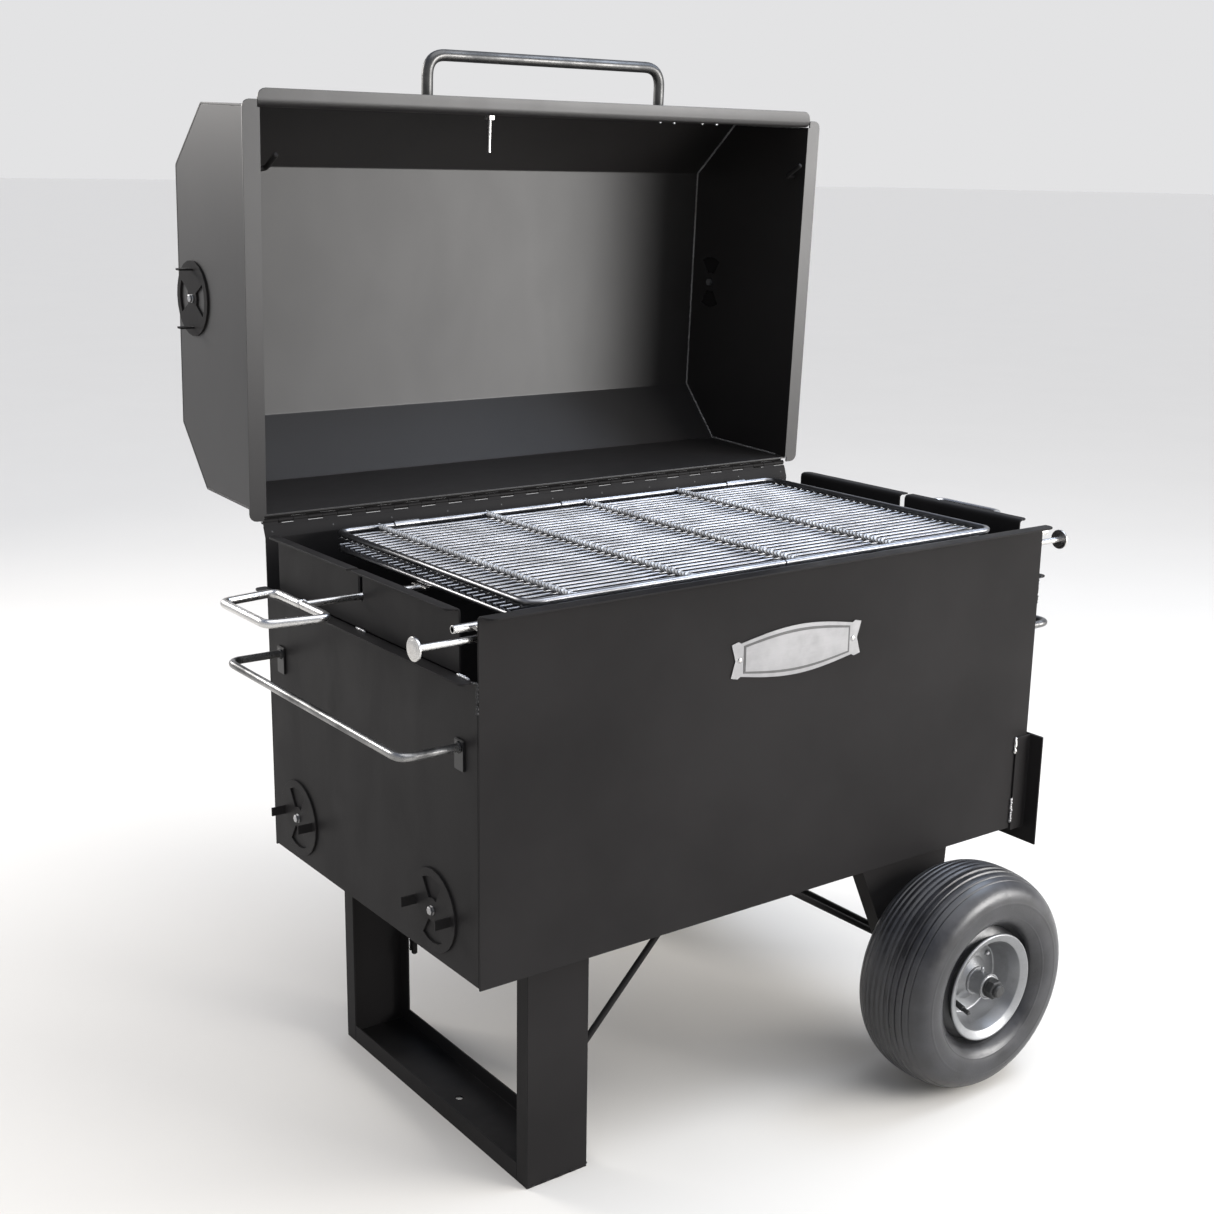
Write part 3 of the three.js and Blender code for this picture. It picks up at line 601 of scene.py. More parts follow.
def makePushHandle(side, place):
    h = pushHandle
    near, far = h["ends"]
    points = [(-2, near, h["height"]), (-h["reach"], near, h["height"]), (-h["reach"], far, h["height"]),
              (-2, far, h["height"])]
    parts = []
    for y in h["ends"]:
        a = place((-3.3, y - h["plate"], h["height"] - h["drop"]))
        b = place((-0.3, y + h["plate"], h["height"] + h["rise"]))
        parts.append(block(a, b, 1.2))
    node = "push_handle_" + side.lower()
    keep("pushHandle" + side, bar([place(p) for p in points], h["bar"], h["bend"]), rubbedBar, "firebox",
         [node])
    keep("pushHandlePlates" + side, joined("pushHandlePlates", parts), trimPaint, "firebox")
    collars = [[place(p) for p in hoop((-3.6, y, h["height"]), h["collar"], 18)] for y in h["ends"]]
    welds("pushHandleWelds" + side, collars, 1.9, "firebox", trimPaint, 3)


makePushHandle("Left", lambda p: p)
makePushHandle("Right", mirrorX)

# Flip handles: a loop on a shaft that ends in a pad under the lower grate.
flipHandle = {"bar": 5, "loop": 6.1, "outer": -176, "inner": -90, "half": 84, "taper": 70, "y": 312,
              "z": 475.5, "bend": 16, "pad": (20, 20, 3.5), "collar": 5.4}


def makeFlipHandle(side, place, edge):
    h = flipHandle
    y, z = h["y"], h["z"]
    loop = [(h["inner"], y - 2, z), (h["inner"], y - h["half"], z), (h["outer"], y - h["taper"], z),
            (h["outer"], y + h["taper"], z), (h["inner"], y + h["half"], z), (h["inner"], y + 2, z)]
    parts = [bar([place(p) for p in loop], h["loop"], h["bend"])]
    parts.append(bar([place((h["inner"] - 3, y, z)), place((edge - 0.5, y, z))], h["bar"], 0))
    long, wide, thick = h["pad"]
    a, b = place((edge - 6, y - wide, z)), place((edge - 6 + long, y + wide, z + thick))
    parts.append(block(a, b, 0.6))
    keep("flipHandle" + side, joined("flipHandle", parts), rodSteel, "flip_frame",
         ["flip_handle_" + side.lower()])
    ring = hoop((h["inner"] + 4.5, y, z), h["collar"], 18)
    welds("flipHandleWeld" + side, [[place(p) for p in ring]], 1.7, "flip_frame", weldSteel, 5)


grateLow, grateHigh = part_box("lower_grate")
leftGap = (grateLow.x - corner.x) / mm
rightGap = firebox["length"] - (grateHigh.x - corner.x) / mm
makeFlipHandle("Left", lambda p: p, leftGap)
makeFlipHandle("Right", mirrorX, rightGap)

# Latch rod with a disc on each end, and the guide tubes above it.
latch = {"y": 17, "z": 481, "bar": 4.75, "ends": (-83, 1134), "disc": 16}


def makeLatch():
    y, z = latch["y"], latch["z"]
    parts = [bar([(latch["ends"][0], y, z), (latch["ends"][1], y, z)], latch["bar"], 0, 24)]
    for x, way in zip(latch["ends"], (-1, 1)):
        rim = latch["disc"]
        outline = [(0, -2.2, 0), (rim, -2.2, 0), (rim, 1.8, 0), (rim - 3.5, 1.8, 0), (rim - 5, 2.6, 0),
                   (rim - 9, 3, 0), (0, 3, 0)]
        outline = [(p.x, p.y) for p in rounded(outline, 1.2, 4)]
        parts.append(turned(outline, at(x, y, z), "X", 48, closed=False, way=way))
    keep("latchRod", joined("latchRod", parts), rodSteel, "latch", ["latch_rod"])


guideTube = {"z": 498, "ends": (-28, 48), "bore": 4, "radius": 5.6, "ease": 0.4, "web": 3}


def makeGuideTube(side, place):
    t = guideTube
    (outer, inner), z, r = t["ends"], t["z"], t["radius"]
    a, b = place((outer, latch["y"], z)), place((inner, latch["y"], z))
    low, high = min(a[0], b[0]), max(a[0], b[0])
    half = [(t["bore"], low), (r - t["ease"], low), (r, low + 0.5)]
    profile = half + [(r, high - 0.5), (r - t["ease"], high), (t["bore"], high)]
    tube = turned(profile, at(0, latch["y"], z), "X", 24)
    a, b = place((0.5, 3.3, z - t["web"])), place((inner - 0.5, latch["y"] - 4.6, z + t["web"]))
    web = block(a, b, 0.5)
    keep("guideTube" + side, joined("guideTube", [tube, web]), rodSteel, "firebox",
         ["guide_tube_" + side.lower()])


makeLatch()
makeGuideTube("Left", lambda p: p)
makeGuideTube("Right", mirrorX)
print("handles and rods done")

# Grates: a bent frame, thin rods along it and a few twisted square cross bars.
grate = {"left": 98, "right": 1002, "front": 38, "back": 586, "low": 484, "high": 508, "frame": 4.75,
         "rod": 2.7, "rods": 31, "bars": 4, "barStep": 200, "firstBar": 80, "rodStep": 6,
         "twistRings": 176, "twist": math.radians(36), "dab": 2.3, "dabRise": 2.4}


def makeGrate(name, z, side, body, node, seed):
    g = grate
    r = g["frame"]
    x0, x1, y0, y1 = g["left"] + r, g["right"] - r, g["front"] + r, g["back"] - r
    mid = (x0 + x1) / 2
    parts = [bar([(mid, y0, z), (x0, y0, z), (x0, y1, z), (mid, y1, z)], r, 24, 16),
             bar([(mid, y0, z), (x1, y0, z), (x1, y1, z), (mid, y1, z)], r, 24, 16)]
    places = [g["left"] + g["firstBar"] + i * g["barStep"] for i in range(g["bars"])]
    count = g["twistRings"]
    span = [g["front"] + 2 + (g["back"] - g["front"] - 4) * i / count for i in range(count + 1)]
    cross = [bar([(x, y, z - side) for y in span], r, 0, 4, twist=g["twist"]) for x in places]
    keep(name + "Bars", joined(name + "Bars", cross), barSteel, body)
    rows = [y0 + (y1 - y0) * (i + 0.8) / (g["rods"] + 0.6) for i in range(g["rods"])]
    spots = [at((g["left"] + g["right"]) / 2, y, z + side * g["rodStep"]) for y in rows]
    rods = grown(rodRecipe, spots, [], Length=(g["right"] - g["left"] - 3) * mm, Radius=g["rod"] * mm,
                 Sides=12, Wobble=0.0007, Seed=seed, Finish=grateSteel)
    parts.append(rods)
    keep(name, joined(name, parts), grateSteel, body, [node])
    height = z + side * g["dabRise"]
    dabs = [[(x, y, height), (x, y + 2.5, height)] for y in rows for x in (x0 + 1, x1 - 1)]
    welds(name + "Welds", dabs, g["dab"], body, weldSteel, seed + 7)


makeGrate("lowerGrate", grate["low"], 1, "flip_frame", "lower_grate", 11)
makeGrate("upperGrate", grate["high"], -1, "top_grate", "upper_grate", 12)
print("grates done")

# Piano hinge: two folded leaves, a row of knuckles on each, the pin and the screws.
hinge = {"pairs": 21, "knuckle": 4.5, "gap": 0.35, "leaf": 1.6, "y": 630, "z": 527, "screws": 11,
         "pin": 2, "screwHead": 3.2, "screwRise": 0.42, "screwMargin": 12, "lowScrew": (621.4, 511.5),
         "highScrew": (621.2, 546), "lowFacing": (0, -0.94, 0.35), "highFacing": (0, 0.04, 1.0)}


def strip(points, thickness, x0, x1, bend=2, steps=4):
    path = [Vector((p.x, p.y)) for p in rounded([Vector((a, b, 0)) for a, b in points], bend, steps)]
    other = []
    for i, p in enumerate(path):
        along = (path[min(i + 1, len(path) - 1)] - path[max(i - 1, 0)]).normalized()
        other.append(p + Vector((-along.y, along.x)) * thickness)
    made = bmesh.new()
    loop = path + other[::-1]
    ends = [[made.verts.new(at(x, p.x, p.y)) for p in loop] for x in (x0, x1)]
    count = len(loop)
    for i in range(count):
        j = (i + 1) % count
        made.faces.new((ends[0][i], ends[0][j], ends[1][j], ends[1][i]))
    half = len(path)
    for end in ends:
        for i in range(half - 1):
            made.faces.new((end[i], end[i + 1], end[count - 2 - i], end[count - 1 - i]))
    bmesh.ops.recalc_face_normals(made, faces=made.faces)
    mesh = bpy.data.meshes.new("strip")
    made.to_mesh(mesh)
    made.free()
    return mesh


def makeHinge():
    h = hinge
    pitch = firebox["length"] / (2 * h["pairs"])

    def knuckles(first):
        places = [at((2 * i + first + 0.5) * pitch, h["y"], h["z"]) for i in range(h["pairs"])]
        return grown(rodRecipe, places, [], Length=(pitch - 2 * h["gap"]) * mm, Radius=h["knuckle"] * mm,
                     Sides=20, Wobble=0.0, Seed=1, Finish=blackPaint)

    def tabs(first, path):
        starts = [(2 * i + first) * pitch for i in range(h["pairs"])]
        spans = [(x + h["gap"], x + pitch - h["gap"]) for x in starts]
        return [strip(path, h["leaf"], x0, x1, 0.5, 1) for x0, x1 in spans]

    low = [(620.2, 505.8), (626.5, 522.4)]
    lowTab = [(626.2, 521.6), (626.6, 522.6), (h["y"] - 2.6, h["z"] - 2.2)]
    parts = [strip(low, h["leaf"], 0.4, firebox["length"] - 0.4, 1), knuckles(0)] + tabs(0, lowTab)
    keep("hingeLeafBody", joined("hingeLeafBody", parts), blackPaint, "firebox", ["hinge_leaf_body"], 40)
    high, highTab = [(621.3, 556), (621.3, 533), (626.1, 530.9)], [(625.6, 531.1), (h["y"], h["z"] + 2.2)]
    sheet = strip(high, h["leaf"], 0.4, firebox["length"] - 0.4, 2)
    upper = joined("hingeLeafHood", [sheet, knuckles(1)] + tabs(1, highTab))
    upper.transform(lidSwing)
    keep("hingeLeafHood", upper, blackPaint, "hood", ["hinge_leaf_hood"], 40)
    pin = bar([(-0.5, h["y"], h["z"]), (firebox["length"] + 0.5, h["y"], h["z"])], h["pin"], 0, 16)
    keep("hingePin", pin, platedSteel, "firebox", ["hinge_pin"])
    edge = h["screwMargin"]
    spots = [edge + i * (firebox["length"] - 2 * edge) / (h["screws"] - 1) for i in range(h["screws"])]
    heads("hingeScrewsBody", [(x, *h["lowScrew"]) for x in spots], h["screwHead"], h["screwRise"],
          h["lowFacing"], "firebox", trimPaint)
    heads("hingeScrewsHood", [(x, *h["highScrew"]) for x in spots], h["screwHead"], h["screwRise"],
          h["highFacing"], "hood", trimPaint, lidSwing)


makeHinge()
print("hinge done")

# Wheels: ribbed tyre on a dished two-piece rim, hub tube, cap nut and valve.
wheel = {"x": 846, "y": -88, "z": -174, "radius": 181, "half": 72, "rim": 89, "ribs": 9, "groove": 3.2,
         "tread": 51, "grooveWidth": 0.14, "ridges": (10, 27, 52), "ridge": 0.7, "axle": 9.5,
         "boltCircle": 0.57, "bolts": 5, "boltHead": 4.6, "boltDepth": 17.4, "valveTurn": 235}


def tyreProfile():
    w = wheel
    middle = (w["radius"] + w["rim"]) / 2
    reach = w["radius"] - middle
    points = []
    steps = 230
    for i in range(steps + 1):
        t = math.radians(-150 + 300 * i / steps)
        s, c = math.sin(t), math.cos(t)
        out = math.copysign(abs(c) ** 0.80, c)
        side = math.copysign(abs(s) ** 0.86, s)
        radius, offset = middle + reach * out, (w["half"] - 0.5) * side
        depth = 0
        if abs(offset) < w["tread"] and c > 0:
            phase = (offset / w["tread"] * w["ribs"] / 2) % 1
            depth = w["groove"] * max(0, 1 - abs(phase - 0.5) / w["grooveWidth"]) ** 0.5
        ridge = 0
        for level in w["ridges"]:
            if abs(offset) > w["tread"]:
                ridge += w["ridge"] * max(0, 1 - abs(radius - w["rim"] - level) / 1.1)
        points.append((radius - depth * c, offset + math.copysign(ridge, offset)))
    heel = w["rim"] - 9
    inside = [p for p in points if p[0] > heel]
    return [(heel, -w["half"] + 24)] + inside + [(heel, w["half"] - 24)]


def makeWheel(side, place, way):
    w = wheel
    hub = at(*place((w["x"], w["y"], w["z"])))
    body = "wheel_" + side.lower()
    keep("tyre" + side, turned(tyreProfile(), hub, "Y", 132, way=way), tyreRubber, body,
         ["tyre_" + side.lower()], 50)
    r = w["rim"]
    profile = [(10.1, -60, 0), (19, -60, 0), (19, -34, 0), (36, -18, 0), (60, -14, 0), (67, -40, 0),
               (r - 15, -58, 0), (r - 2.5, -64.4, 0), (r, -60.5, 0), (r - 12.6, -50.5, 0),
               (r - 12.6, 50.5, 0), (r, 60.5, 0), (r - 2.5, 64.4, 0),
               (r - 15, 60, 0), (70, 46, 0), (61, -10, 0), (19, -22, 0), (19, 60, 0), (10.1, 60, 0)]
    smooth = [(p.x, p.y) for p in rounded([Vector(p) for p in profile], 3.2, 5)]
    rim = [turned(smooth, hub, "Y", 96, way=way)]
    for radius, offset in ((22.5, -30), (21, -56)):
        rim.append(turned([(19, offset), (radius, offset), (radius, offset - 3), (19, offset - 3)], hub,
                          "Y", 48, way=way))
    keep("wheelRim" + side, joined("wheelRim", rim), rimSilver, body, ["wheel_rim_" + side.lower()], 40)
    ring, deep = r * w["boltCircle"], -w["boltDepth"] * way
    turns = [math.radians(36 + 360 / w["bolts"] * k) for k in range(w["bolts"])]
    spin = [hub + Vector((ring * math.cos(a) * mm, deep * mm, ring * math.sin(a) * mm)) for a in turns]
    mesh = grown(headRecipe, spin, [], Radius=w["boltHead"] * mm, Rise=0.8, Facing=(0, -way, 0),
                 Finish=platedSteel)
    keep("rimBolts" + side, mesh, platedSteel, body, sharp=50)
    # rubber valve through the dish, and a grease nipple on the hub
    tilt = math.radians(w["valveTurn"])
    foot = Vector((0.046 * math.cos(tilt), -0.015 * way, 0.046 * math.sin(tilt)))
    tip = foot + Vector((0.006 * math.cos(tilt), -0.034 * way, 0.006 * math.sin(tilt)))
    stem = [tuple((hub + p - corner) / mm) for p in (foot, foot.lerp(tip, 0.62))]
    capEnds = [tuple((hub + p - corner) / mm) for p in (foot.lerp(tip, 0.6), tip)]
    keep("valve" + side,
         joined("valve", [bar(stem, 4.6, 0, 18, cap=0.3), bar(capEnds, 3.6, 0, 18, cap=0.3)]),
         capRubber, body)
    lube = [tuple((hub + Vector((0, -0.044 * way, h)) - corner) / mm) for h in (0.018, 0.0275)]
    keep("greaseNipple" + side, bar(lube, 2.6, 0, 14, cap=0.5), platedSteel, body)


axleNut = {"seat": -60.9, "bore": 9.9, "washer": 16, "across": 15.6, "cap": 10.4}


def makeNut(side, place, way):
    w = wheel
    hub = at(*place((w["x"], w["y"], w["z"])))
    seat, bore, wide, across, tip = (axleNut[key] for key in ("seat", "bore", "washer", "across", "cap"))
    washer = turned([(bore, seat), (wide, seat), (wide, seat - 3), (bore, seat - 3)], hub, "Y", 40,
                    way=way)
    sides = [(bore, seat - 3), (across, seat - 3), (across, seat - 13), (across - 2, seat - 15),
             (bore, seat - 15)]
    nut = turned(sides, hub, "Y", 6, way=way)
    dome = [(0.01, seat - 12), (tip, seat - 12), (tip, seat - 19), (tip - 1.8, seat - 21.4),
            (0.01, seat - 21.8)]
    cap = turned(dome, hub, "Y", 32, way=way)
    keep("axleNut" + side, joined("axleNut", [washer, nut, cap]), capRubber, "firebox",
         ["axle_nut_" + side.lower()], 30)


makeWheel("Front", lambda p: p, 1)
makeWheel("Rear", mirrorY, -1)
makeNut("Front", lambda p: p, 1)
makeNut("Rear", mirrorY, -1)
axleReach = wheel["y"] - wheel["half"] + 6
axleEnds = [(wheel["x"], y, wheel["z"]) for y in (axleReach, firebox["depth"] - axleReach)]
keep("axle", bar(axleEnds, wheel["axle"], 0, 28), trimPaint, "firebox", ["axle"])
print("wheels done")

# Brace rods under the floor.
brace = {"bar": 5, "y": 72, "top": -5.4}


def makeBraces(side, place):
    y, top = brace["y"], brace["top"]
    leg = [(210.5, y, -222), (210.5, y, -188), (386.5, y, top), (426.5, y, top)]
    keep("legBrace" + side, bar([place(p) for p in leg], brace["bar"], 14), blackPaint, "firebox",
         ["leg_brace_" + side.lower()])
    stay = [(530, y, top), (570, y, top), (wheel["x"] - 24, y, wheel["z"] + 10),
            (wheel["x"] - 13, y, wheel["z"] + 1)]
    keep("axleBrace" + side, bar([place(p) for p in stay], brace["bar"], 12), blackPaint, "firebox",
         ["axle_brace_" + side.lower()])


makeBraces("Front", lambda p: p)
makeBraces("Rear", mirrorY)

# Drawer handle.
drawerHandle = {"x": 1081.6, "reach": 46, "ends": (230, 390), "z": 86, "bar": 5.5}
d = drawerHandle
near, far = d["ends"]
out = d["x"] + d["reach"]
path = [(d["x"], near, d["z"]), (out, near, d["z"]), (out, far, d["z"]), (d["x"], far, d["z"])]
keep("drawerHandle", bar(path, d["bar"], 16), trimPaint, "ash_drawer", ["drawer_handle"])

# Hood handle and lid hooks, drawn with the lid shut.
hoodHandle = {"ends": (308, 762), "z": 566, "y": 13.7, "reach": 84, "bar": 9, "bend": 32, "collar": 9.6}


def makeHoodHandle():
    h = hoodHandle
    (a, b), y, z = h["ends"], h["y"], h["z"]
    mesh = bar([(a, y, z), (a, y - h["reach"], z), (b, y - h["reach"], z), (b, y, z)], h["bar"],
               h["bend"], 28, 10, 0.05)
    mesh.transform(lidSwing)
    keep("hoodHandle", mesh, satinBar, "hood", ["hood_handle"])
    rings = [hoop((x, y - 0.6, z), h["collar"], 24, "Y") for x in h["ends"]]
    welds("hoodHandleWelds", rings, 2.2, "hood", trimPaint, 9, lidSwing)


hoodHook = {"seat": (3.9, 104, 545), "stand": 20, "reach": 22, "drop": 37, "bar": 4, "bend": 8}


def makeHook(side, place):
    h = hoodHook
    x, y, z = h["seat"]
    tip = (x + h["stand"], y - h["reach"], z - h["drop"])
    mesh = bar([place(p) for p in ((x, y, z), (x + h["stand"], y, z), tip)], h["bar"], h["bend"], 16, 6)
    mesh.transform(lidSwing)
    keep("hoodHook" + side, mesh, blackPaint, "hood", ["hood_hook_" + side.lower()])


makeHoodHandle()
makeHook("Left", lambda p: p)
makeHook("Right", mirrorX)

# Bolts through the vent discs.
ventBolt = {"head": 6.4, "washer": 6.9, "shank": 4, "nut": 6.9, "face": 3.5, "inset": 0.009}


def makeVentBolt(name, node, body, way):
    v = ventBolt
    low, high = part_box(node)
    face, wide, seat = v["face"], v["washer"], -v["face"]
    centre = (low + high) / 2
    centre.x = (low.x + v["inset"]) if way > 0 else (high.x - v["inset"])
    top = [(0.01, seat - 0.6), (v["head"], seat - 0.6), (v["head"], -8.2), (5.2, -9), (0.01, -9)]
    hexHead = turned(top, centre, "X", 6, way=way)
    disc = [(0.01, seat + 0.1), (wide, seat + 0.1), (wide, seat - 0.8), (0.01, seat - 0.8)]
    washer = turned(disc, centre, "X", 28, way=way)
    pin = [(0.01, -4), (v["shank"], -4), (v["shank"], 4), (0.01, 4)]
    shank = turned(pin, centre, "X", 20, way=way)
    end = [(0.01, face), (v["nut"], face), (v["nut"], 8), (0.01, 8)]
    nut = turned(end, centre, "X", 6, way=way)
    keep(name, joined(name, [hexHead, washer, shank, nut]), platedSteel, body, [node], 30)


makeVentBolt("ventBoltFront", "vent_bolt_front", "firebox", 1)
makeVentBolt("ventBoltRear", "vent_bolt_rear", "firebox", 1)
makeVentBolt("hoodVentBoltLeft", "hood_vent_bolt_left", "hood", 1)
makeVentBolt("hoodVentBoltRight", "hood_vent_bolt_right", "hood", -1)

# Thermometer in the front of the hood: dial outside, nut and stem inside.
gauge = {"x": 470, "y": 14, "z": 640, "dial": 32, "stem": 3, "stemTip": 78, "nut": 9}


def makeGauge():
    g = gauge
    centre = at(g["x"], g["y"], g["z"])
    r, bore, wide = g["dial"], g["stem"], g["nut"]
    shape = [(0.01, -0.3), (r - 4, -0.3), (r, -4), (r, -13), (r - 1.5, -15.6), (r - 3.5, -15.6),
             (r - 4, -12.5), (0.01, -12.5)]
    case = turned(shape, centre, "Y", 64)
    stem = bar([(g["x"], g["y"] - 2, g["z"]), (g["x"], g["stemTip"], g["z"])], bore, 0, 18, cap=0.5)
    sides = [(bore, 3.3), (wide, 3.3), (wide, 10.2), (wide - 1.4, 11.3), (bore, 11.3)]
    nut = turned(sides, centre, "Y", 6)
    mesh = joined("gaugeCase", [case, stem, nut])
    mesh.transform(lidSwing)
    keep("gaugeCase", mesh, rodSteel, "hood", ["thermometer"], 30)


makeGauge()

# A plain badge: a bowed plaque with a notched tail at each end, raised in steps. It carries no marks.
badge = {"middle": (543, 389), "half": (126, 37), "body": 0.86, "shoulder": 0.66, "tail": 0.66,
         "notch": 0.94, "arcSteps": 18, "steps": ((0, -1.5, -0.3), (6, -1.9, -1.3), (10, -2.3, -1.7)),
         "rivet": 110, "rivetY": -1.7, "rivetHead": 4}


def plaqueOutline(inset):
    b = badge
    wide, tall = b["half"][0] - inset, b["half"][1] - inset
    reach = b["body"] * wide
    top = []
    for i in range(b["arcSteps"] + 1):
        x = reach * (1 - 2 * i / b["arcSteps"])
        rise = b["shoulder"] + (1 - b["shoulder"]) * math.cos(math.pi * x / (2 * reach))
        top.append((x, tall * rise))
    if inset:
        return top + [(-x, -z) for x, z in top]
    tail = [(wide * b["notch"], 0), (wide, tall * b["tail"]), (wide * 0.9, tall * b["tail"] * 1.12)]
    half = [tail[0], tail[1], tail[2]] + top + [(-tail[2][0], tail[2][1]), (-tail[1][0], tail[1][1])]
    return half + [(-x, -z) for x, z in half]


def makePlaque(inset, y0, y1):
    (middleX, middleZ), made = badge["middle"], bmesh.new()
    outline = plaqueOutline(inset)
    rings = [[made.verts.new(at(middleX + x, y, middleZ + z)) for x, z in outline] for y in (y0, y1)]
    made.faces.new(rings[0])
    made.faces.new(rings[1][::-1])
    for i in range(len(outline)):
        j = (i + 1) % len(outline)
        made.faces.new((rings[0][i], rings[0][j], rings[1][j], rings[1][i]))
    bmesh.ops.recalc_face_normals(made, faces=made.faces)
    mesh = bpy.data.meshes.new("plaque")
    made.to_mesh(mesh)
    made.free()
    return mesh


def makeBadge():
    names = ("badgePlate", "badgePanel", "badgeFace")
    for name, (inset, y0, y1) in zip(names, badge["steps"]):
        finish = etchedPlate if name == "badgePanel" else brushedPlate
        stands = ["name_plate"] if name == "badgePlate" else []
        keep(name, makePlaque(inset, y0, y1), finish, "firebox", stands, 0)
    middleX, middleZ = badge["middle"]
    spots = [(middleX + side * badge["rivet"], badge["rivetY"], middleZ) for side in (-1, 1)]
    heads("badgeRivets", spots, badge["rivetHead"], 0.4, (0, -1, 0), "firebox", rodSteel)


makeBadge()
hoodPlate = {"ease": 0.4, "rivetX": (824, 920), "rivetZ": (598, 638), "rivetY": 17.2, "rivetHead": 3.4}
keep("hoodPlate", eased("hood_plate", hoodPlate["ease"]), brushedPlate, "hood", ["hood_plate"], sharp=0)
spots = [(x, hoodPlate["rivetY"], z) for x in hoodPlate["rivetX"] for z in hoodPlate["rivetZ"]]
heads("hoodPlateRivets", spots, hoodPlate["rivetHead"], 0.5, (0, -0.04, -1.0), "hood", platedSteel,
      lidSwing)
print("hood fittings done")

# Weld seams.
shelfZ = 428
stitches = [[(-4, y - 12, shelfZ + 0.4), (-3.6, y + 12, shelfZ + 0.4)] for y in (32, 306, 566)]
welds("shelfStitchesLeft", stitches, 2.2, "firebox", weldSteel, 21)
welds("shelfStitchesRight", [[mirrorX(p) for p in s] for s in stitches], 2.2, "firebox", weldSteel, 22)
frameWelds = [[(1041.5, -1.5, z0), (1041.5, -1.5, z1)] for z0, z1 in ((12, 52), (132, 158))]
welds("drawerFrameWeldsFront", frameWelds, 2.6, "firebox", weldSteel, 23)
rearFrameWelds = [[mirrorY(p) for p in s] for s in frameWelds]
welds("drawerFrameWeldsBack", rearFrameWelds, 2.6, "firebox", weldSteel, 24)
cornerWelds = [[(-0.6, 2.2, 402), (-0.6, 2.2, 426), (-8, 2.0, 429)], [(-0.8, 1.8, 386), (-0.8, 1.8, 396)]]
welds("cornerWeldLeft", cornerWelds, 1.7, "firebox", trimPaint, 25)
welds("cornerWeldRight", [[mirrorX(p) for p in s] for s in cornerWelds], 1.7, "firebox", trimPaint, 26)
hoodSeam = [(17.6, 540), (17.6, 719), (113, 823.4), (523, 823.4), (617.4, 733), (617.4, 545)]
welds("hoodSeamRight", [[mirrorX((4.2, y, z)) for y, z in hoodSeam]], 1.7, "hood", barSteel, 27, lidSwing)
welds("hoodSeamLeft", [[(4.2, y, z) for y, z in hoodSeam]], 1.7, "hood", barSteel, 28, lidSwing)
legSeams = [[(101.5 + k * 25, 38.4, -352), (113 + k * 25, 38.4, -352)] for k in range(4)]
legSeams += [[(205.4, 40, -350), (205.4, 64, -350)], [(205.4, 40, -2), (205.4, 64, -2)]]
welds("legSeams", legSeams, 1.8, "firebox", blackPaint, 29)
braceSeams = [[(206, brace["y"] + off, -216), (206, brace["y"] + off, -194)] for off in (4.5, -4.5)]
braceSeams += [[(x, brace["y"] - 5, -1.6), (x + 32, brace["y"] - 5, -1.6)] for x in (392, 534)]
welds("braceSeamsFront", braceSeams, 1.8, "firebox", blackPaint, 30)
welds("braceSeamsRear", [[mirrorY(p) for p in s] for s in braceSeams], 1.8, "firebox", blackPaint, 31)
print("welds done")

# Floor, lights and camera.
stage = {"floor": 200, "zenith": (0.38, 0.43, 0.56, 1), "horizon": (0.96, 0.96, 0.97, 1), "bright": 0.80,
         "overhead": 1.9, "softness": 70, "lean": (14, 8), "pale": (0.71, 0.74), "tint": (1, 0.965, 0.90),
         "skyBand": (0.12, 0.75)}
floorMesh = bpy.data.meshes.new("floor")
half = stage["floor"]
corners = [(-half, -half, 0), (half, -half, 0), (half, half, 0), (-half, half, 0)]
floorMesh.from_pydata(corners, [], [(0, 1, 2, 3)])
floor = bpy.data.objects.new("floor", floorMesh)
bpy.context.scene.collection.objects.link(floor)
floorFinish = Finish("paleFloor", Specular_IOR_Level=0.2)
mottle = floorFinish.noise(1.6, 5, 0.6)
paleTones = [rgb(level, stage["tint"]) for level in stage["pale"]]
floorFinish.feed("Base Color", floorFinish.blend(mottle, *paleTones))
floorFinish.feed("Roughness", 0.7 + 0.1 * mottle)
floorMesh.materials.append(floorFinish.material)


def softbox(name, place, aim, size, power, tint):
    data = bpy.data.lights.new(name, "AREA")
    data.shape = "RECTANGLE"
    data.size, data.size_y = size
    data.energy = power
    data.color = tint
    lamp = bpy.data.objects.new(name, data)
    bpy.context.scene.collection.objects.link(lamp)
    lamp.location = place
    lamp.rotation_euler = (Vector(aim) - Vector(place)).to_track_quat("-Z", "Y").to_euler()
    lamp.visible_camera = False


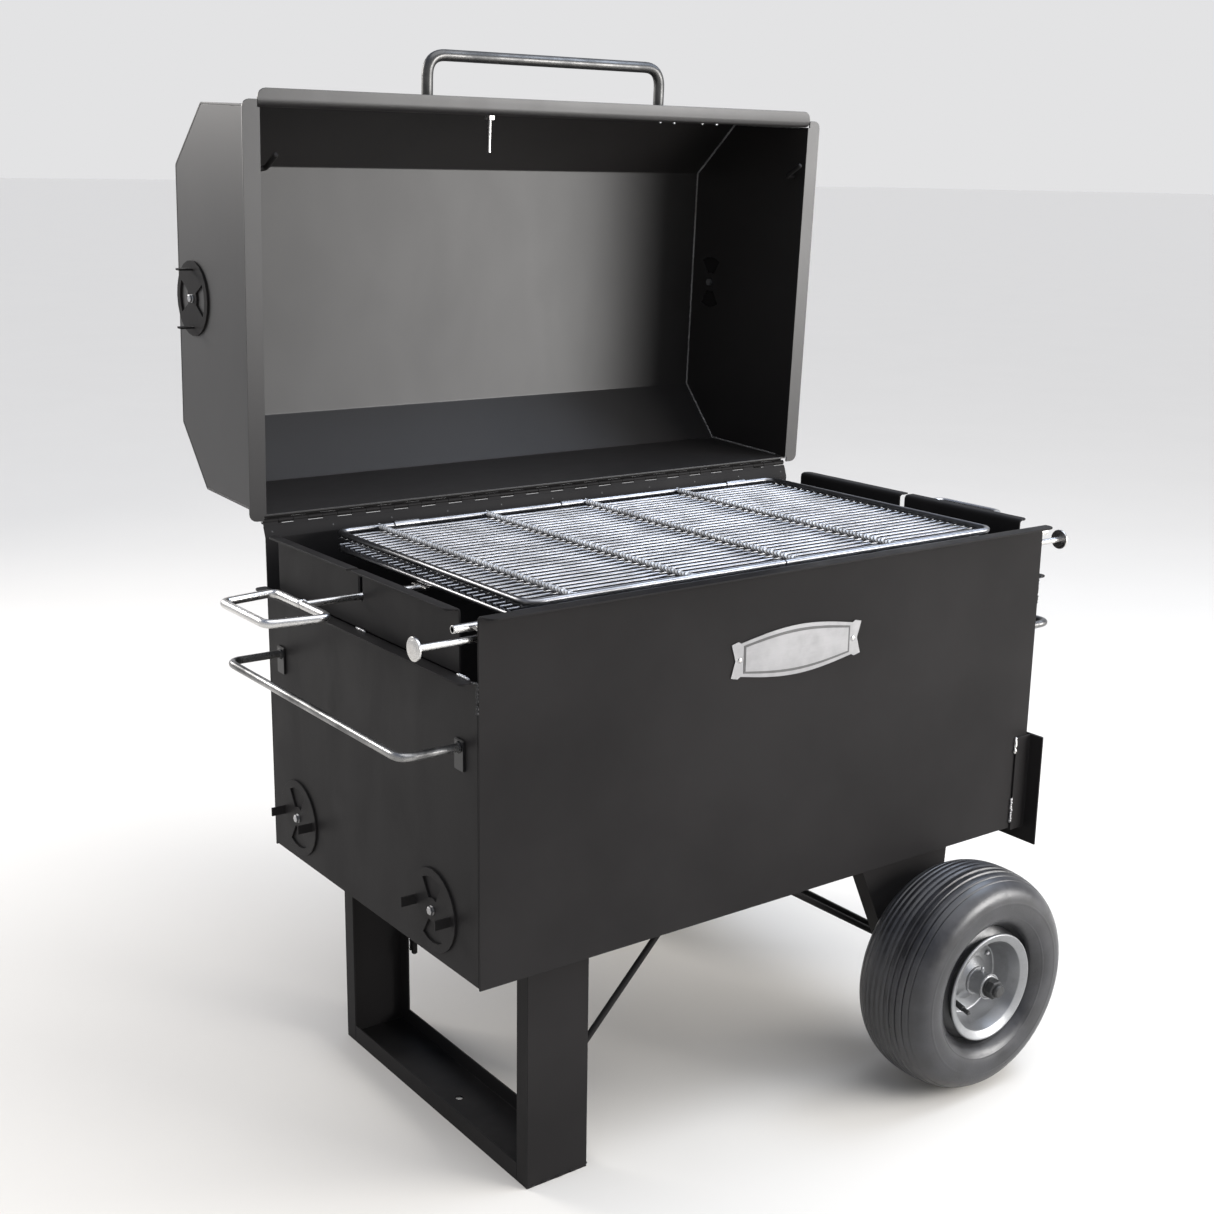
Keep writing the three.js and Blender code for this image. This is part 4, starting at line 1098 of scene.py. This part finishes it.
softboxes = {
    "frontLight": {"place": (2.6, -3.2, 1.5), "aim": (0, 0.2, 1.1), "size": (2.7, 1.5), "power": 205,
                   "tint": (1, 0.985, 0.97)},
    "sideLight": {"place": (-1.7, 3.1, 2.35), "aim": (-0.5, 0.4, 1.4), "size": (1.5, 0.9), "power": 75,
                  "tint": (1, 0.97, 0.94)},
    "coolLight": {"place": (2.3, -0.6, 3.6), "aim": (0, 0.4, 1.1), "size": (2.0, 1.5), "power": 55,
                  "tint": (0.68, 0.80, 1.0)},
}
for name, settings in softboxes.items():
    softbox(name, **settings)
overhead = bpy.data.lights.new("overhead", "SUN")
overhead.energy = stage["overhead"]
overhead.angle = math.radians(stage["softness"])
overheadLamp = bpy.data.objects.new("overhead", overhead)
bpy.context.scene.collection.objects.link(overheadLamp)
leanX, leanY = stage["lean"]
overheadLamp.rotation_euler = (math.radians(leanX), math.radians(leanY), 0)
world = bpy.data.worlds.new("studio")
bpy.context.scene.world = world
world.use_nodes = True
sky = Net(world.node_tree)
skyward = sky.axis(sky.node("ShaderNodeTexCoord", out="Generated"), "Z")
low, high = stage["skyBand"]
height = sky.node("ShaderNodeMapRange", {"interpolation_type": "SMOOTHSTEP"},
                  {"Value": skyward, "From Min": low, "From Max": high, "To Min": 0.0, "To Max": 1.0})
shade = sky.node("ShaderNodeMix", {"data_type": "RGBA"},
                 {0: height, 6: stage["horizon"], 7: stage["zenith"]}, 2)
backdrop = world.node_tree.nodes["Background"]
world.node_tree.links.new(shade.socket, backdrop.inputs["Color"])
backdrop.inputs["Strength"].default_value = stage["bright"]

cameraSpot = {"place": (-1.6135, -2.1188, 1.4074), "look": (0.573, 0.781, -0.248), "roll": 0.015,
              "lens": 50.1, "sensor": 36}
eyeData = bpy.data.cameras.new("eye")
eyeData.sensor_width = cameraSpot["sensor"]
eyeData.lens = cameraSpot["lens"]
eye = bpy.data.objects.new("eye", eyeData)
bpy.context.scene.collection.objects.link(eye)
turn = Vector(cameraSpot["look"]).to_track_quat("-Z", "Y").to_matrix().to_4x4()
rolled = turn @ Matrix.Rotation(cameraSpot["roll"], 4, "Z")
eye.matrix_world = Matrix.Translation(cameraSpot["place"]) @ rolled
bpy.context.scene.camera = eye
bpy.context.scene.view_settings.view_transform = "Standard"
print("stage done")
